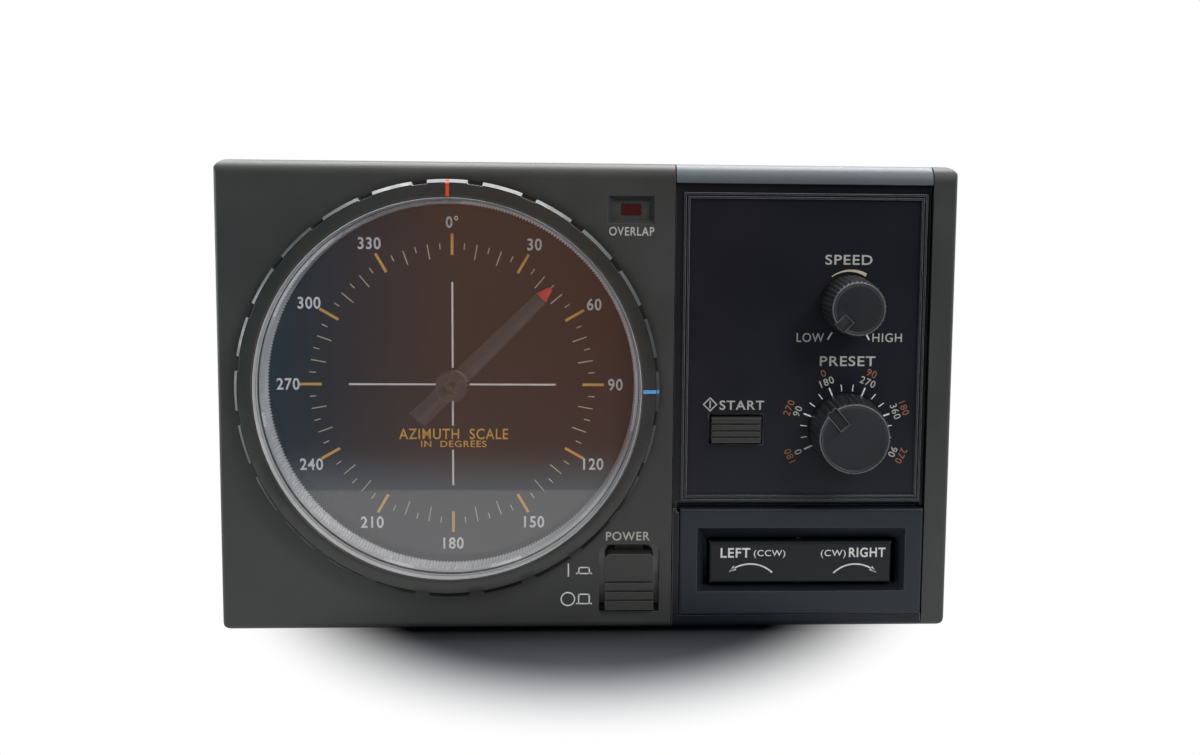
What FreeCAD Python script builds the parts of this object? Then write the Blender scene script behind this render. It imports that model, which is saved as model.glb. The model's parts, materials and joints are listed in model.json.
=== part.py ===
import FreeCAD, Part
import math
import os
import re
import Sketcher
from FreeCAD import Placement, Rotation, Vector

# Antenna rotator controller, in millimetres. X runs to the right, Y away from the front, Z up.
# The origin is the middle of the whole object's box, on the surface that the feet stand on.

SIZES = (
    ("case_depth", 193, "over the speed knob and the rotator socket"),
    ("front_reach", 12, "speed knob's face in front of the fascia"),
    ("rear_reach", 8, "rotator socket behind the rear panel"),
    ("fascia_width", 200, "width over the fascia"),
    ("fascia_height", 128.5, "height of the fascia"),
    ("fascia_lift", 1.5, "fascia's lower edge above the table"),
    ("fascia_wall", 3, "moulded wall of the fascia"),
    ("fascia_skirt", 15, "depth of the fascia's sides"),
    ("corner_round", 3, "fascia's corner radius"),
    ("top_round", 4, "round of the front's top edge"),
    ("foot_round", 2, "round of the front's bottom edge"),
    ("side_round", 1.2, "round of the front's side edges"),
    ("seam_place", 122.8, "from the left edge to the control panel"),
    ("strip_width", 6.6, "fascia to the right of the control panel"),
    ("seam_gap", 0.3, "gap round a fitted panel"),
    ("fit_gap", 0.15, "gap round a piece that is pushed into another"),
    ("panel_depth", 9, "depth of the control panel moulding"),
    ("panel_recess", 2, "panel face behind the fascia's face"),
    ("panel_wall", 2.2, "wall of the control panel"),
    ("panel_flange", 2.5, "fascia wall that carries the control panel"),
    ("cap_height", 4.9, "rounded cap over the control panel"),
    ("ridge_margin", 2.6, "panel edge to the raised border"),
    ("ridge_width", 1.5, "raised border"),
    ("ridge_height", 0.8, "raised border above the panel"),
    ("ridge_groove", 0.5, "groove along the raised border"),
    ("bezel_top", 33.9, "switch bezel's top above the fascia's lower edge"),
    ("bezel_base", 3.7, "switch bezel's bottom above the fascia's lower edge"),
    ("bezel_left", 2.2, "switch bezel to the seam"),
    ("bezel_right", 0.4, "switch bezel to the strip"),
    ("bezel_stand", 0.8, "switch bezel in front of the fascia's face"),
    ("bezel_round", 0.8, "edge round of the switch bezel"),
    ("mouth_side", 4.9, "bezel edge to its opening, at the sides"),
    ("mouth_top", 5.3, "bezel edge to its opening, at the top"),
    ("mouth_base", 6.8, "bezel edge to its opening, at the bottom"),
    ("mouth_slope", 2.1, "sloped side of the opening"),
    ("mouth_slope_top", 3.7, "sloped top of the opening"),
    ("mouth_slope_base", 1.3, "sloped bottom of the opening"),
    ("mouth_depth", 3.4, "depth of the sloped sides"),
    ("rocker_gap", 1.4, "rocker to its opening, at the ends"),
    ("rocker_gap_high", 0.6, "rocker to its opening, above and below"),
    ("rocker_set", 0.6, "rocker's face behind the fascia's face"),
    ("rocker_back", 7.4, "rocker's back behind the fascia's face"),
    ("rocker_post_inset", 5.6, "rocker's posts from its ends"),
    ("rocker_post_radius", 1.6, "rocker's posts"),
    ("rocker_post_length", 1.2, "rocker's posts"),
    ("pin_radius", 1.2, "rocker pin"),
    ("pin_place", 5.4, "rocker pin behind the fascia's face"),
    ("pin_seat", 3, "rocker pin in the bezel at each end"),
    ("running_gap", 0.05, "radial clearance of a turning fit"),
    ("dial_place", 62.2, "dial's centre from the left edge"),
    ("dial_rise", 67.3, "dial's centre above the fascia's lower edge"),
    ("ring_radius", 56.7, "direction ring over its lobes"),
    ("ring_rim", 51.9, "inner edge of the direction ring"),
    ("ring_stand", 4.7, "direction ring in front of the fascia"),
    ("ring_edge", 0.9, "bevel of the direction ring"),
    ("ring_under", 0.4, "direction ring over the fascia's face"),
    ("ring_neck", 53.9, "direction ring's neck, outside"),
    ("ring_neck_wall", 1.3, "wall of the ring's neck"),
    ("ring_lip", 1.1, "snap lip behind the fascia wall"),
    ("ring_lobes", 24, "lobes round the direction ring"),
    ("ring_notch_width", 3.4, "notch between two lobes"),
    ("ring_notch_depth", 1.1, "notch between two lobes"),
    ("ring_slack", 0.3, "running gap of the direction ring"),
    ("housing_radius", 52.2, "dial housing, outside"),
    ("housing_wall", 1, "wall round the window"),
    ("housing_ledge", 2.7, "wall that the scale plate rests on"),
    ("housing_stand", 1.8, "dial housing in front of the fascia's face"),
    ("housing_floor", 2, "floor of the dial housing"),
    ("housing_depth", 20, "dial housing's back behind the fascia's face"),
    ("flange_radius", 61, "mounting flange of the dial housing"),
    ("flange_wall", 2, "mounting flange of the dial housing"),
    ("boss_height", 2.5, "fascia bosses that carry the dial housing"),
    ("boss_radius", 3, "screw bosses"),
    ("boss_circle", 58.4, "boss circle round the dial"),
    ("boss_angle", 30, "bosses from the vertical"),
    ("window_front", 1.5, "dial window's face in front of the fascia"),
    ("window_wall", 1.5, "thickness of the dial window"),
    ("window_boss", 2.1, "moulded bearing boss of the window"),
    ("window_boss_height", 1.2, "moulded bearing boss of the window"),
    ("plate_gap", 0.1, "dial plates in the housing"),
    ("ring_tooth_count", 160, "teeth of the serrated ring"),
    ("ring_tooth_depth", 0.45, "teeth of the serrated ring"),
    ("serrated_wall", 1, "wall of the serrated ring with its teeth"),
    ("scale_depth", 6.8, "scale plate's face behind the fascia's face"),
    ("scale_wall", 1.5, "thickness of the scale plate"),
    ("scale_hole", 2.6, "hole in the scale plate"),
    ("hub_radius", 4.4, "hub of the pointer"),
    ("hub_front", 2, "hub's face behind the fascia's face"),
    ("hub_height", 3.5, "hub of the pointer"),
    ("blade_length", 38.2, "pointer from the centre to its tip"),
    ("blade_root", 5.4, "pointer's width at the hub"),
    ("blade_end", 3.6, "pointer's width near the tip"),
    ("blade_tip", 3.2, "length of the pointed tip"),
    ("blade_wall", 0.7, "pointer's edge thickness"),
    ("blade_ridge", 0.9, "ridge along the pointer"),
    ("tail_length", 13.3, "pointer's tail"),
    ("pointer_rest", 45, "pointer's azimuth at rest"),
    ("shaft_radius", 1.5, "pointer shaft"),
    ("shaft_tip", 0.8, "pointer shaft's thin front end"),
    ("gear_module", 0.6, "tooth size of the indicator gears"),
    ("pointer_teeth", 40, "teeth of the pointer gear"),
    ("pinion_teeth", 15, "teeth of the motor pinion"),
    ("pot_teeth", 60, "teeth of the feedback gear"),
    ("gear_backlash", 0.16, "tooth thinned at the pitch circle"),
    ("gear_pressure", 20, "pressure angle of the teeth"),
    ("gear_crest", 0.54, "tooth above the pitch circle"),
    ("gear_root", 0.69, "tooth gap below the pitch circle"),
    ("gear_stagger", 0.5, "pinion and feedback gear to the pointer gear's faces"),
    ("gear_front", 21.5, "pointer gear behind the fascia's face"),
    ("gear_wall", 3, "thickness of the pointer gear"),
    ("pot_gear_wall", 2, "thickness of the feedback gear"),
    ("pinion_wall", 4, "length of the pinion's teeth"),
    ("gear_space", 6, "housing floor to the gear plate"),
    ("gear_plate_wall", 1.5, "gear plate"),
    ("gear_plate_half", 33, "gear plate from the dial's centre"),
    ("gear_plate_up", 45, "gear plate's top from the dial's centre"),
    ("pillar_place", 28, "gear plate pillars from the dial's centre"),
    ("pillar_radius", 3, "gear plate pillars"),
    ("bush_radius", 3, "shaft bush, outside"),
    ("bush_flange", 4, "shaft bush flange"),
    ("bush_flange_wall", 0.8, "shaft bush flange"),
    ("motor_radius", 12, "indicator motor"),
    ("motor_length", 30, "indicator motor"),
    ("motor_nose", 3.5, "motor's front bearing"),
    ("motor_shaft", 1, "motor shaft"),
    ("motor_cap", 2, "motor's rear bearing cap"),
    ("sensor_radius", 11, "feedback potentiometer"),
    ("sensor_length", 10, "feedback potentiometer"),
    ("sensor_shaft", 2, "feedback gear's shaft"),
    ("sensor_hold", 7, "feedback gear's shaft inside the potentiometer"),
    ("lug_length", 4, "solder lugs"),
    ("lug_wall", 1, "solder lugs"),
    ("lug_width", 3, "solder lugs"),
    ("web_hole_count", 5, "holes in the feedback gear"),
    ("web_hole_circle", 10.5, "holes in the feedback gear"),
    ("web_hole_radius", 3.5, "holes in the feedback gear"),
    ("lamp_place", 36, "dial lamps from the dial's centre"),
    ("lamp_radius", 2.2, "dial lamp glass"),
    ("lamp_base", 3, "dial lamp base"),
    ("lamp_height", 4, "dial lamp base"),
    ("lamp_glass", 3, "dial lamp glass below its dome"),
    ("lens_place", 111, "overlap window's centre from the left edge"),
    ("lens_rise", 116.2, "overlap window's centre above the lower edge"),
    ("lens_width", 5.4, "overlap window"),
    ("lens_height", 3, "overlap window"),
    ("lens_set", 1.8, "overlap window behind the fascia's face"),
    ("lens_flange", 1, "flange round the overlap window"),
    ("recess_width", 12.7, "recess round the overlap window"),
    ("recess_height", 7.6, "recess round the overlap window"),
    ("recess_depth", 2, "recess round the overlap window"),
    ("recess_slope", 1.5, "sloped sides of the recess"),
    ("led_radius", 1.5, "overlap lamp"),
    ("led_length", 4, "overlap lamp"),
    ("led_rim", 0.4, "rim round the overlap lamp's base"),
    ("led_rim_height", 1, "rim round the overlap lamp's base"),
    ("control_place", 28.8, "both knobs from the right edge"),
    ("speed_rise", 90.9, "speed knob above the lower edge"),
    ("preset_rise", 55.6, "preset knob above the lower edge"),
    ("speed_radius", 7.6, "speed knob"),
    ("preset_radius", 10, "preset knob"),
    ("preset_reach", 10.7, "preset knob's face in front of the fascia"),
    ("knob_lift", 0.6, "knobs over the panel"),
    ("knob_flare", 0.4, "knobs' base wider than their face"),
    ("knob_edge", 0.5, "bevel round a knob's face"),
    ("knob_flutes", 30, "flutes round a knob"),
    ("flute_depth", 0.3, "flutes round a knob"),
    ("flute_width", 0.8, "flutes round a knob"),
    ("knob_dish", 0.3, "dished face of a knob"),
    ("knob_face_wall", 1.6, "wall of a knob's face"),
    ("index_width", 3.1, "index groove across a knob's face"),
    ("index_depth", 0.5, "index groove across a knob's face"),
    ("speed_index", 4, "length of the speed knob's index groove"),
    ("preset_index", 6, "length of the preset knob's index groove"),
    ("speed_rest", -136, "speed knob's index at rest, clockwise from the top"),
    ("preset_rest", -40.5, "preset knob's index at rest, clockwise from the top"),
    ("nut_space", 6.2, "radius of the space under a knob"),
    ("nut_space_height", 3, "space under a knob"),
    ("spindle_radius", 3, "knob shafts"),
    ("knob_pot_radius", 8.2, "panel potentiometers"),
    ("thread_radius", 3.5, "threaded neck of a potentiometer"),
    ("thread_length", 4.5, "threaded neck of a potentiometer"),
    ("nut_size", 5.6, "potentiometer nut over its corners"),
    ("nut_wall", 2, "potentiometer nut"),
    ("board_place", 14, "front board behind the fascia's face"),
    ("board_wall", 1.6, "circuit boards"),
    ("board_margin", 5, "window for the front board to the seam"),
    ("board_inset", 0.8, "front board inside its window"),
    ("start_place", 140.35, "start button from the left edge"),
    ("start_rise", 55.75, "start button above the lower edge"),
    ("start_width", 13.9, "start button"),
    ("start_height", 7.3, "start button"),
    ("start_gap", 0.6, "start button to its opening"),
    ("start_travel", 1.2, "start button's travel"),
    ("button_flange", 0.9, "flange behind a button's opening"),
    ("button_gap", 0.2, "sliding gap of a button"),
    ("button_edge", 0.5, "soft edge of the start button"),
    ("power_rib_top", 7.9, "first groove from the power button's top"),
    ("power_rib_pitch", 2.6, "grooves of the power button"),
    ("rib_depth", 0.6, "grooves across a button"),
    ("rib_width", 0.6, "grooves across a button"),
    ("switch_width", 6, "small switch bodies"),
    ("switch_height", 3.5, "small switch bodies"),
    ("switch_tip", 1.5, "small switch plungers, radius"),
    ("switch_reach", 0.7, "small switch plungers, length"),
    ("power_place", 111.2, "power button's centre from the left edge"),
    ("power_top", 21.5, "power button's top above the lower edge"),
    ("power_base", 5.6, "power button's bottom above the lower edge"),
    ("power_width", 13.4, "power button"),
    ("power_gap", 1.6, "power button to its opening, at the sides"),
    ("power_gap_top", 2.3, "power button to its opening, at the top"),
    ("power_gap_base", 0.8, "power button to its opening, at the bottom"),
    ("power_stand", 1.5, "power button in front of the fascia's face"),
    ("power_flange", 8, "flange of the power button"),
    ("power_back", 6.5, "power button's back behind the fascia's face"),
    ("power_travel", 3.5, "power button's travel"),
    ("power_round", 1.6, "upper corners of the power button"),
    ("plunger_width", 4, "power switch plunger"),
    ("plunger_seat", 10, "power switch plunger inside its switch"),
    ("power_switch_width", 12, "power switch body"),
    ("power_switch_length", 26, "power switch body"),
    ("power_tag_pitch", 7.2, "between the power switch's lugs"),
    ("sheet_wall", 1.2, "steel sheet of the tray and cover"),
    ("tray_lift", 4.7, "tray's underside above the table"),
    ("tray_gap", 0.2, "tray inside the fascia"),
    ("frame_place", 11.7, "tray's front frame behind the fascia's face"),
    ("tray_flange", 14, "tray's side and rear flanges"),
    ("cover_gap", 0.2, "cover to the fascia"),
    ("cover_bend", 1.5, "inner bend of the cover"),
    ("vent_count", 12, "vent slots across the cover"),
    ("vent_length", 40, "vent slots"),
    ("vent_width", 2.5, "vent slots"),
    ("vent_pitch", 8, "vent slots"),
    ("vent_back", 30, "vent slots from the rear panel"),
    ("foot_radius", 8, "rubber feet"),
    ("foot_taper", 0.8, "rubber feet, narrower at the table"),
    ("foot_inset", 18, "feet from the tray's sides"),
    ("foot_front", 18, "front feet from the fascia's skirt"),
    ("foot_rear", 18, "rear feet from the rear panel"),
    ("foot_peg", 2, "peg of a foot through the tray"),
    ("foot_peg_length", 2.6, "peg of a foot through the tray"),
    ("screw_radius", 1.5, "M3 screws"),
    ("screw_head", 2.8, "M3 screw heads"),
    ("screw_head_wall", 1.8, "M3 screw heads"),
    ("screw_length", 5, "M3 screws under their heads"),
    ("screw_cross", 0.7, "cross recess"),
    ("screw_cross_depth", 0.9, "cross recess"),
    ("cover_screw_rise", 7, "cover's side screws above the tray"),
    ("cover_screw_front", 25, "front cover screws from the fascia's skirt"),
    ("cover_screw_rear", 22, "rear cover screws from the rear panel"),
    ("rear_screw_pitch", 80, "between the screws along the rear panel"),
    ("core_width", 66, "transformer core"),
    ("core_stack", 34, "transformer core"),
    ("core_height", 55, "transformer core"),
    ("core_leg", 11, "outer legs and yokes of the core"),
    ("core_place_x", 48, "transformer's centre from the fascia's right side"),
    ("core_place_y", 54.5, "transformer's centre from the rear panel's back"),
    ("coil_overhang", 11, "winding beside the core"),
    ("frame_wall", 1.5, "transformer frame"),
    ("frame_foot", 8, "transformer frame's feet"),
    ("main_left", 8, "main board from the fascia's left side"),
    ("main_gap", 13.5, "main board to the transformer's frame"),
    ("main_front", 44.5, "main board behind the fascia's face"),
    ("main_rear", 28.5, "main board's rear edge to the rear panel's back"),
    ("main_wing", 40, "main board's wing to the fascia's right side"),
    ("main_wing_depth", 34, "depth of the main board's wing"),
    ("standoff_height", 6, "board standoffs"),
    ("standoff_radius", 3, "board standoffs"),
    ("standoff_inset", 5, "board standoffs from the board's edge"),
    ("capacitor_radius", 12.5, "smoothing capacitors"),
    ("capacitor_height", 35, "smoothing capacitors"),
    ("capacitor_place", 27, "left capacitor from the main board's left edge"),
    ("capacitor_pitch", 29, "capacitor spacing"),
    ("capacitor_back", 38, "capacitors from the main board's rear edge"),
    ("sink_left", 8, "heat sink from the fascia's left side"),
    ("sink_width", 50, "heat sink"),
    ("sink_height", 64, "heat sink"),
    ("sink_lift", 24, "heat sink above the table"),
    ("sink_base", 4, "heat sink's base"),
    ("sink_depth", 24, "heat sink with its fins"),
    ("fin_count", 8, "heat sink fins"),
    ("fin_wall", 1.6, "heat sink fins"),
    ("transistor_width", 15.6, "power transistors"),
    ("transistor_height", 20, "power transistors"),
    ("transistor_wall", 4.8, "power transistors"),
    ("transistor_pitch", 25, "between the power transistors"),
    ("ribbon_width", 26, "ribbon cable"),
    ("ribbon_wall", 0.9, "ribbon cable"),
    ("ribbon_bend", 6, "ribbon cable's bend"),
    ("ribbon_place", 56, "ribbon cable's middle from the fascia's right side"),
    ("ribbon_rise", 20, "ribbon cable above the main board"),
    ("plug_margin", 2, "ribbon plug round the cable"),
    ("plug_length", 6, "ribbon plug"),
    ("rear_wall", 1.5, "rear panel"),
    ("socket_place_x", 62, "rotator socket"),
    ("socket_rise", 98, "rotator socket above the table"),
    ("socket_radius", 11.5, "rotator socket's shell"),
    ("socket_wall", 1.4, "rotator socket's shell"),
    ("socket_plate", 30, "rotator socket's square flange"),
    ("socket_plate_wall", 2, "rotator socket's square flange"),
    ("socket_inner", 12, "rotator socket inside the panel"),
    ("socket_floor", 4, "mouth's floor inside the panel"),
    ("contact_length", 6, "rotator socket pins above the mouth's floor"),
    ("contact_root", 6, "rotator socket pins in the floor"),
    ("contact_radius", 1, "rotator socket pins"),
    ("contact_circle", 6, "rotator socket pins"),
    ("contact_count", 6, "pins round the middle one"),
    ("din_place_x", 24, "control socket"),
    ("din_radius", 6, "control socket"),
    ("din_hole", 4.6, "control socket's mouth"),
    ("din_width", 14, "control socket's body"),
    ("din_length", 12, "control socket's body"),
    ("din_stand", 1, "control socket's rim behind the panel"),
    ("din_core", 3.5, "control socket's core"),
    ("din_core_set", 1.5, "control socket's core inside the panel"),
    ("din_mouth", 8, "depth of the control socket's mouth"),
    ("fuse_place_x", 16, "fuse holder, left of the middle"),
    ("fuse_rise", 34, "fuse holder above the table"),
    ("fuse_radius", 6, "fuse holder's body"),
    ("fuse_collar", 8.5, "fuse holder's collar"),
    ("fuse_collar_wall", 2, "fuse holder's collar"),
    ("fuse_length", 34, "fuse holder's body"),
    ("fuse_bore", 4.2, "fuse holder's bore"),
    ("fuse_end", 2, "closed end of the fuse holder"),
    ("fuse_cap_radius", 5.6, "fuse cap"),
    ("fuse_cap_height", 3.5, "fuse cap"),
    ("fuse_stem_length", 8, "fuse cap's stem"),
    ("grommet_rise", 62, "cord grommet above the table"),
    ("grommet_radius", 8, "cord grommet"),
    ("grommet_neck", 6, "cord grommet in the panel"),
    ("grommet_bore", 3.8, "cord grommet's bore"),
    ("grommet_wall", 2.2, "cord grommet's flanges"),
    ("trimmer_place_x", 4, "trimmers, left of the middle"),
    ("trimmer_pitch", 17, "trimmer spacing"),
    ("trimmer_rise", 98, "trimmers above the table"),
    ("trimmer_radius", 3, "trimmer screws"),
    ("trimmer_body", 9.6, "trimmer bodies"),
    ("trimmer_body_wall", 5, "trimmer bodies"),
    ("trimmer_stand", 1, "trimmer screws behind the panel"),
    ("slot_width", 0.8, "screwdriver slots"),
    ("slot_depth", 0.7, "screwdriver slots"),
    ("cut_margin", 1, "how far a cutter runs past the material"),
)

doc = FreeCAD.newDocument("RotatorController")
sheet = doc.addObject("Spreadsheet::Sheet", "Sizes")
for row, (size_name, size_value, meaning) in enumerate(SIZES, start=1):
    sheet.set(f"A{row}", meaning)
    sheet.set(f"B{row}", str(size_value))
    sheet.setAlias(f"B{row}", size_name)
doc.recompute()

ALIASES = {size_name for size_name, size_value, meaning in SIZES}
probe = doc.addObject("App::FeaturePython", "Probe")
probe.addProperty("App::PropertyFloat", "Value")
pieces = []


def on_sheet(text):
    """An expression in which each size's name points at its cell."""
    return re.sub(r"[a-z]\w*", lambda word: "Sizes." + word[0] if word[0] in ALIASES else word[0], str(text))


def number(text):
    """The value of an expression on the sheet."""
    probe.setExpression("Value", on_sheet(text))
    probe.recompute()
    return probe.Value


def count(name):
    return int(round(number(name)))


def front(depth):
    """A place behind the fascia's front face."""
    return f"({FRONT} + {depth})"


def behind(depth):
    """A place in front of the rear panel's outer face."""
    return f"({REAR} - ({depth}))"


def up(rise):
    """A place above the fascia's lower edge."""
    return f"({BOTTOM} + {rise})"


def past(low, high):
    """A cutter's span, past the material at both ends."""
    return f"{low} - cut_margin", f"{high} + cut_margin"


def across(place):
    """A place measured from the fascia's left edge."""
    return f"({place} - fascia_width / 2)"


FRONT = "(front_reach - case_depth / 2)"
REAR = "(case_depth / 2 - rear_reach)"
PANEL_BACK = "(case_depth / 2 - rear_reach - rear_wall)"
HALF = "fascia_width / 2"
BOTTOM = "fascia_lift"
TOP = "(fascia_lift + fascia_height)"
SEAM = across("seam_place")
STRIP = "(fascia_width / 2 - strip_width)"
DIAL_X = across("dial_place")
DIAL_Z = up("dial_rise")
DIAL = (DIAL_X, DIAL_Z)
SKIRT = front("fascia_skirt")
PANEL_FACE = front("panel_recess")
PANEL_INNER = front("panel_recess + panel_wall")
TRAY_HALF = "(fascia_width / 2 - fascia_wall - tray_gap)"
TRAY_FLOOR = "(tray_lift + sheet_wall)"
COVER_TOP = "(fascia_lift + fascia_height - fascia_wall - tray_gap)"
BOARD_TOP = "(tray_lift + sheet_wall + standoff_height + board_wall)"
GEAR_PLATE = front("housing_depth + gear_space")
MOTOR_FACE = front("housing_depth + gear_space + gear_plate_wall")

FACING = {
    "x": Rotation(Vector(0, 1, 0), 90),
    "y": Rotation(Vector(1, 0, 0), -90),
    "z": Rotation(),
}
TO_VIEWER = Rotation(Vector(1, 0, 0), 90)


def place(obj, x, y, z):
    for axis, text in zip("xyz", (x, y, z)):
        obj.setExpression(f"Placement.Base.{axis}", on_sheet(text))
    return obj


def box(name, x, y, z):
    """A box between two places along each axis."""
    obj = doc.addObject("Part::Box", name)
    for side, (low, high) in zip(("Length", "Width", "Height"), (x, y, z)):
        obj.setExpression(side, on_sheet(f"({high}) - ({low})"))
    return place(obj, x[0], y[0], z[0])


def along(axis, at, start):
    """Three coordinates from a place along an axis and the two others."""
    return {"x": (start, *at), "y": (at[0], start, at[1]), "z": (*at, start)}[axis]


def rod(name, axis, at, span, radius):
    """A round bar along an axis, between two places on it."""
    obj = doc.addObject("Part::Cylinder", name)
    obj.setExpression("Radius", on_sheet(radius))
    obj.setExpression("Height", on_sheet(f"({span[1]}) - ({span[0]})"))
    obj.Placement = Placement(Vector(), FACING[axis])
    return place(obj, *along(axis, at, span[0]))


def cone(name, axis, at, span, start_radius, end_radius):
    obj = doc.addObject("Part::Cone", name)
    obj.setExpression("Radius1", on_sheet(start_radius))
    obj.setExpression("Radius2", on_sheet(end_radius))
    obj.setExpression("Height", on_sheet(f"({span[1]}) - ({span[0]})"))
    obj.Placement = Placement(Vector(), FACING[axis])
    return place(obj, *along(axis, at, span[0]))


def funnel(name, y, outer_x, outer_z, inner_x, inner_z):
    """A block that narrows from its outer rectangle in front to its inner one."""
    obj = doc.addObject("Part::Wedge", name)
    faces = {"Y": y, "X": outer_x, "Z": outer_z}
    for axis, (low, high) in faces.items():
        obj.setExpression(f"{axis}max", on_sheet(high))
        obj.setExpression(f"{axis}min", on_sheet(low))
    for axis, (low, high) in {"X2": inner_x, "Z2": inner_z}.items():
        obj.setExpression(f"{axis}max", on_sheet(high))
        obj.setExpression(f"{axis}min", on_sheet(low))
    return obj


def join(name, *parts):
    obj = doc.addObject("Part::MultiFuse", name)
    obj.Shapes = list(parts)
    return obj


def shared(name, *parts):
    obj = doc.addObject("Part::MultiCommon", name)
    obj.Shapes = list(parts)
    return obj


def cut(name, base, *tools):
    obj = doc.addObject("Part::Cut", name)
    obj.Base = base
    obj.Tool = tools[0] if len(tools) == 1 else join(name + "Tools", *tools)
    return obj


def group(name, parts):
    obj = doc.addObject("Part::Compound", name)
    obj.Links = list(parts)
    return obj


def rounded(name, base, radius_of):
    """Fillets on the edges for which radius_of(middle, direction) gives a radius."""
    doc.recompute()
    obj = doc.addObject("Part::Fillet", name)
    obj.Base = base
    edges = []
    for index, edge in enumerate(base.Shape.Edges, start=1):
        middle = edge.valueAt((edge.FirstParameter + edge.LastParameter) / 2)
        radius = radius_of(middle, edge.tangentAt(edge.FirstParameter))
        if radius:
            edges.append((index, radius, radius))
    obj.Edges = edges
    return obj


def piece(label, obj):
    """Name a finished sub-part; its file takes this name."""
    obj.Label = label
    pieces.append(obj)
    return obj


def new_body(name, x, y, z, rotation):
    body = doc.addObject("PartDesign::Body", name)
    body.Placement = Placement(Vector(), rotation)
    return place(body, x, y, z)


def sketch_on(body, role, name):
    sketch = body.newObject("Sketcher::SketchObject", name)
    plane = next(item for item in body.Origin.OriginFeatures if item.Role == role)
    sketch.AttachmentSupport = [(plane, "")]
    sketch.MapMode = "FlatFace"
    return sketch


def outline(sketch, corners):
    """A closed outline whose corners are bound to expressions on the sheet."""
    points = [Vector(number(u), number(v), 0) for u, v in corners]
    for start, end in zip(points, points[1:] + points[:1]):
        sketch.addGeometry(Part.LineSegment(start, end), False)
    for line in range(len(points)):
        following = (line + 1) % len(points)
        sketch.addConstraint(Sketcher.Constraint("Coincident", line, 2, following, 1))
    for line, (point, corner) in enumerate(zip(points, corners)):
        for kind, axis_line, value, text in (
            ("DistanceX", -2, point.x, corner[0]),
            ("DistanceY", -1, point.y, corner[1]),
        ):
            if text == "0":
                sketch.addConstraint(Sketcher.Constraint("PointOnObject", line, 1, axis_line))
                continue
            rule = sketch.addConstraint(Sketcher.Constraint(kind, -1, 1, line, 1, value))
            sketch.setExpression(f"Constraints[{rule}]", on_sheet(text))


def turned(body, corners):
    """A solid of revolution round the body's own Z axis; corners are radius and height."""
    sketch = sketch_on(body, "XZ_Plane", body.Name + "Profile")
    outline(sketch, corners)
    solid = body.newObject("PartDesign::Revolution", body.Name + "Turned")
    solid.Profile = sketch
    solid.ReferenceAxis = (sketch, ["V_Axis"])
    solid.Angle = 360
    sketch.Visibility = False
    body.Tip = solid
    doc.recompute()
    return solid


def notched(body, corners, length, copies):
    """Cuts an outline through the body's height, repeated round its own Z axis."""
    sketch = sketch_on(body, "XY_Plane", body.Name + "Notch")
    outline(sketch, corners)
    pocket = body.newObject("PartDesign::Pocket", body.Name + "Pocket")
    pocket.Profile = sketch
    pocket.Midplane = True
    pocket.Length = number(length)
    pocket.setExpression("Length", on_sheet(length))
    doc.recompute()
    pattern = body.newObject("PartDesign::PolarPattern", body.Name + "Pattern")
    pattern.Originals = [pocket]
    pattern.Axis = (sketch, ["N_Axis"])
    pattern.Angle = 360
    pattern.Occurrences = count(copies)
    pattern.setExpression("Occurrences", on_sheet(copies))
    body.Tip = pattern
    doc.recompute()
    return pattern


def screw(name, axis, at, seat, inward):
    """A pan-head screw: seat is under its head, inward is +1 or -1 along the axis."""
    if inward > 0:
        head_span = (f"{seat} - screw_head_wall", seat)
        shank_span = (seat, f"{seat} + screw_length")
        face = f"{seat} - screw_head_wall"
        cross_span = (f"{face} - cut_margin", f"{face} + screw_cross_depth")
    else:
        head_span = (seat, f"{seat} + screw_head_wall")
        shank_span = (f"{seat} - screw_length", seat)
        face = f"{seat} + screw_head_wall"
        cross_span = (f"{face} - screw_cross_depth", f"{face} + cut_margin")
    head = rod(name + "Head", axis, at, head_span, "screw_head")
    shank = rod(name + "Shank", axis, at, shank_span, "screw_radius")
    solid = join(name + "Solid", head, shank)
    arms = []
    for arm in (0, 1):
        widths = ("1.2 * screw_head", "screw_cross") if arm else ("screw_cross", "1.2 * screw_head")
        sides = [spread(middle, width) for middle, width in zip(at, widths)]
        arms.append(box(f"{name}Arm{arm}", *along(axis, sides, cross_span)))
    return cut(name, solid, *arms)


def front_block():
    """The rounded block that the fascia and the control panel are both cut from."""
    spans = (f"-{HALF}", HALF), (FRONT, SKIRT), (BOTTOM, TOP)
    face = number(FRONT)
    top = number(TOP)
    base = number(BOTTOM)

    def corner(middle, direction):
        return number("corner_round") if abs(direction.y) > 0.9 else 0

    def level_edge(middle, direction):
        if abs(direction.x) < 0.9 or middle.y > face + 0.1:
            return 0
        return number("top_round") if middle.z > (top + base) / 2 else number("foot_round")

    def side_edge(middle, direction):
        return number("side_round") if abs(direction.z) > 0.9 and middle.y < face + 0.1 else 0

    blocks = [
        rounded(f"FrontRound{index}", box(f"FrontBox{index}", *spans), radius_of)
        for index, radius_of in enumerate((corner, level_edge, side_edge))
    ]
    return shared("FrontBlock", *blocks)


def boss_places():
    """The four screw places round the dial."""
    for side in (-1, 1):
        for level in (-1, 1):
            x = f"({DIAL_X} + {side} * boss_circle * sin(boss_angle))"
            z = f"({DIAL_Z} + {level} * boss_circle * cos(boss_angle))"
            yield x, z


def pillar_places():
    """The four pillars between the dial housing and the gear plate."""
    for side in (-1, 1):
        for level in (-1, 1):
            yield f"({DIAL_X} + {side} * pillar_place)", f"({DIAL_Z} + {level} * pillar_place)"


def frame_screw_places():
    """The four screws that hold the fascia to the tray's front frame."""
    for x in (f"({SEAM} + panel_flange)", f"({STRIP} - panel_flange)"):
        for z in (up("fascia_wall + panel_flange + screw_head"), f"({TOP} - cap_height - screw_head)"):
            yield x, z


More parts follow.
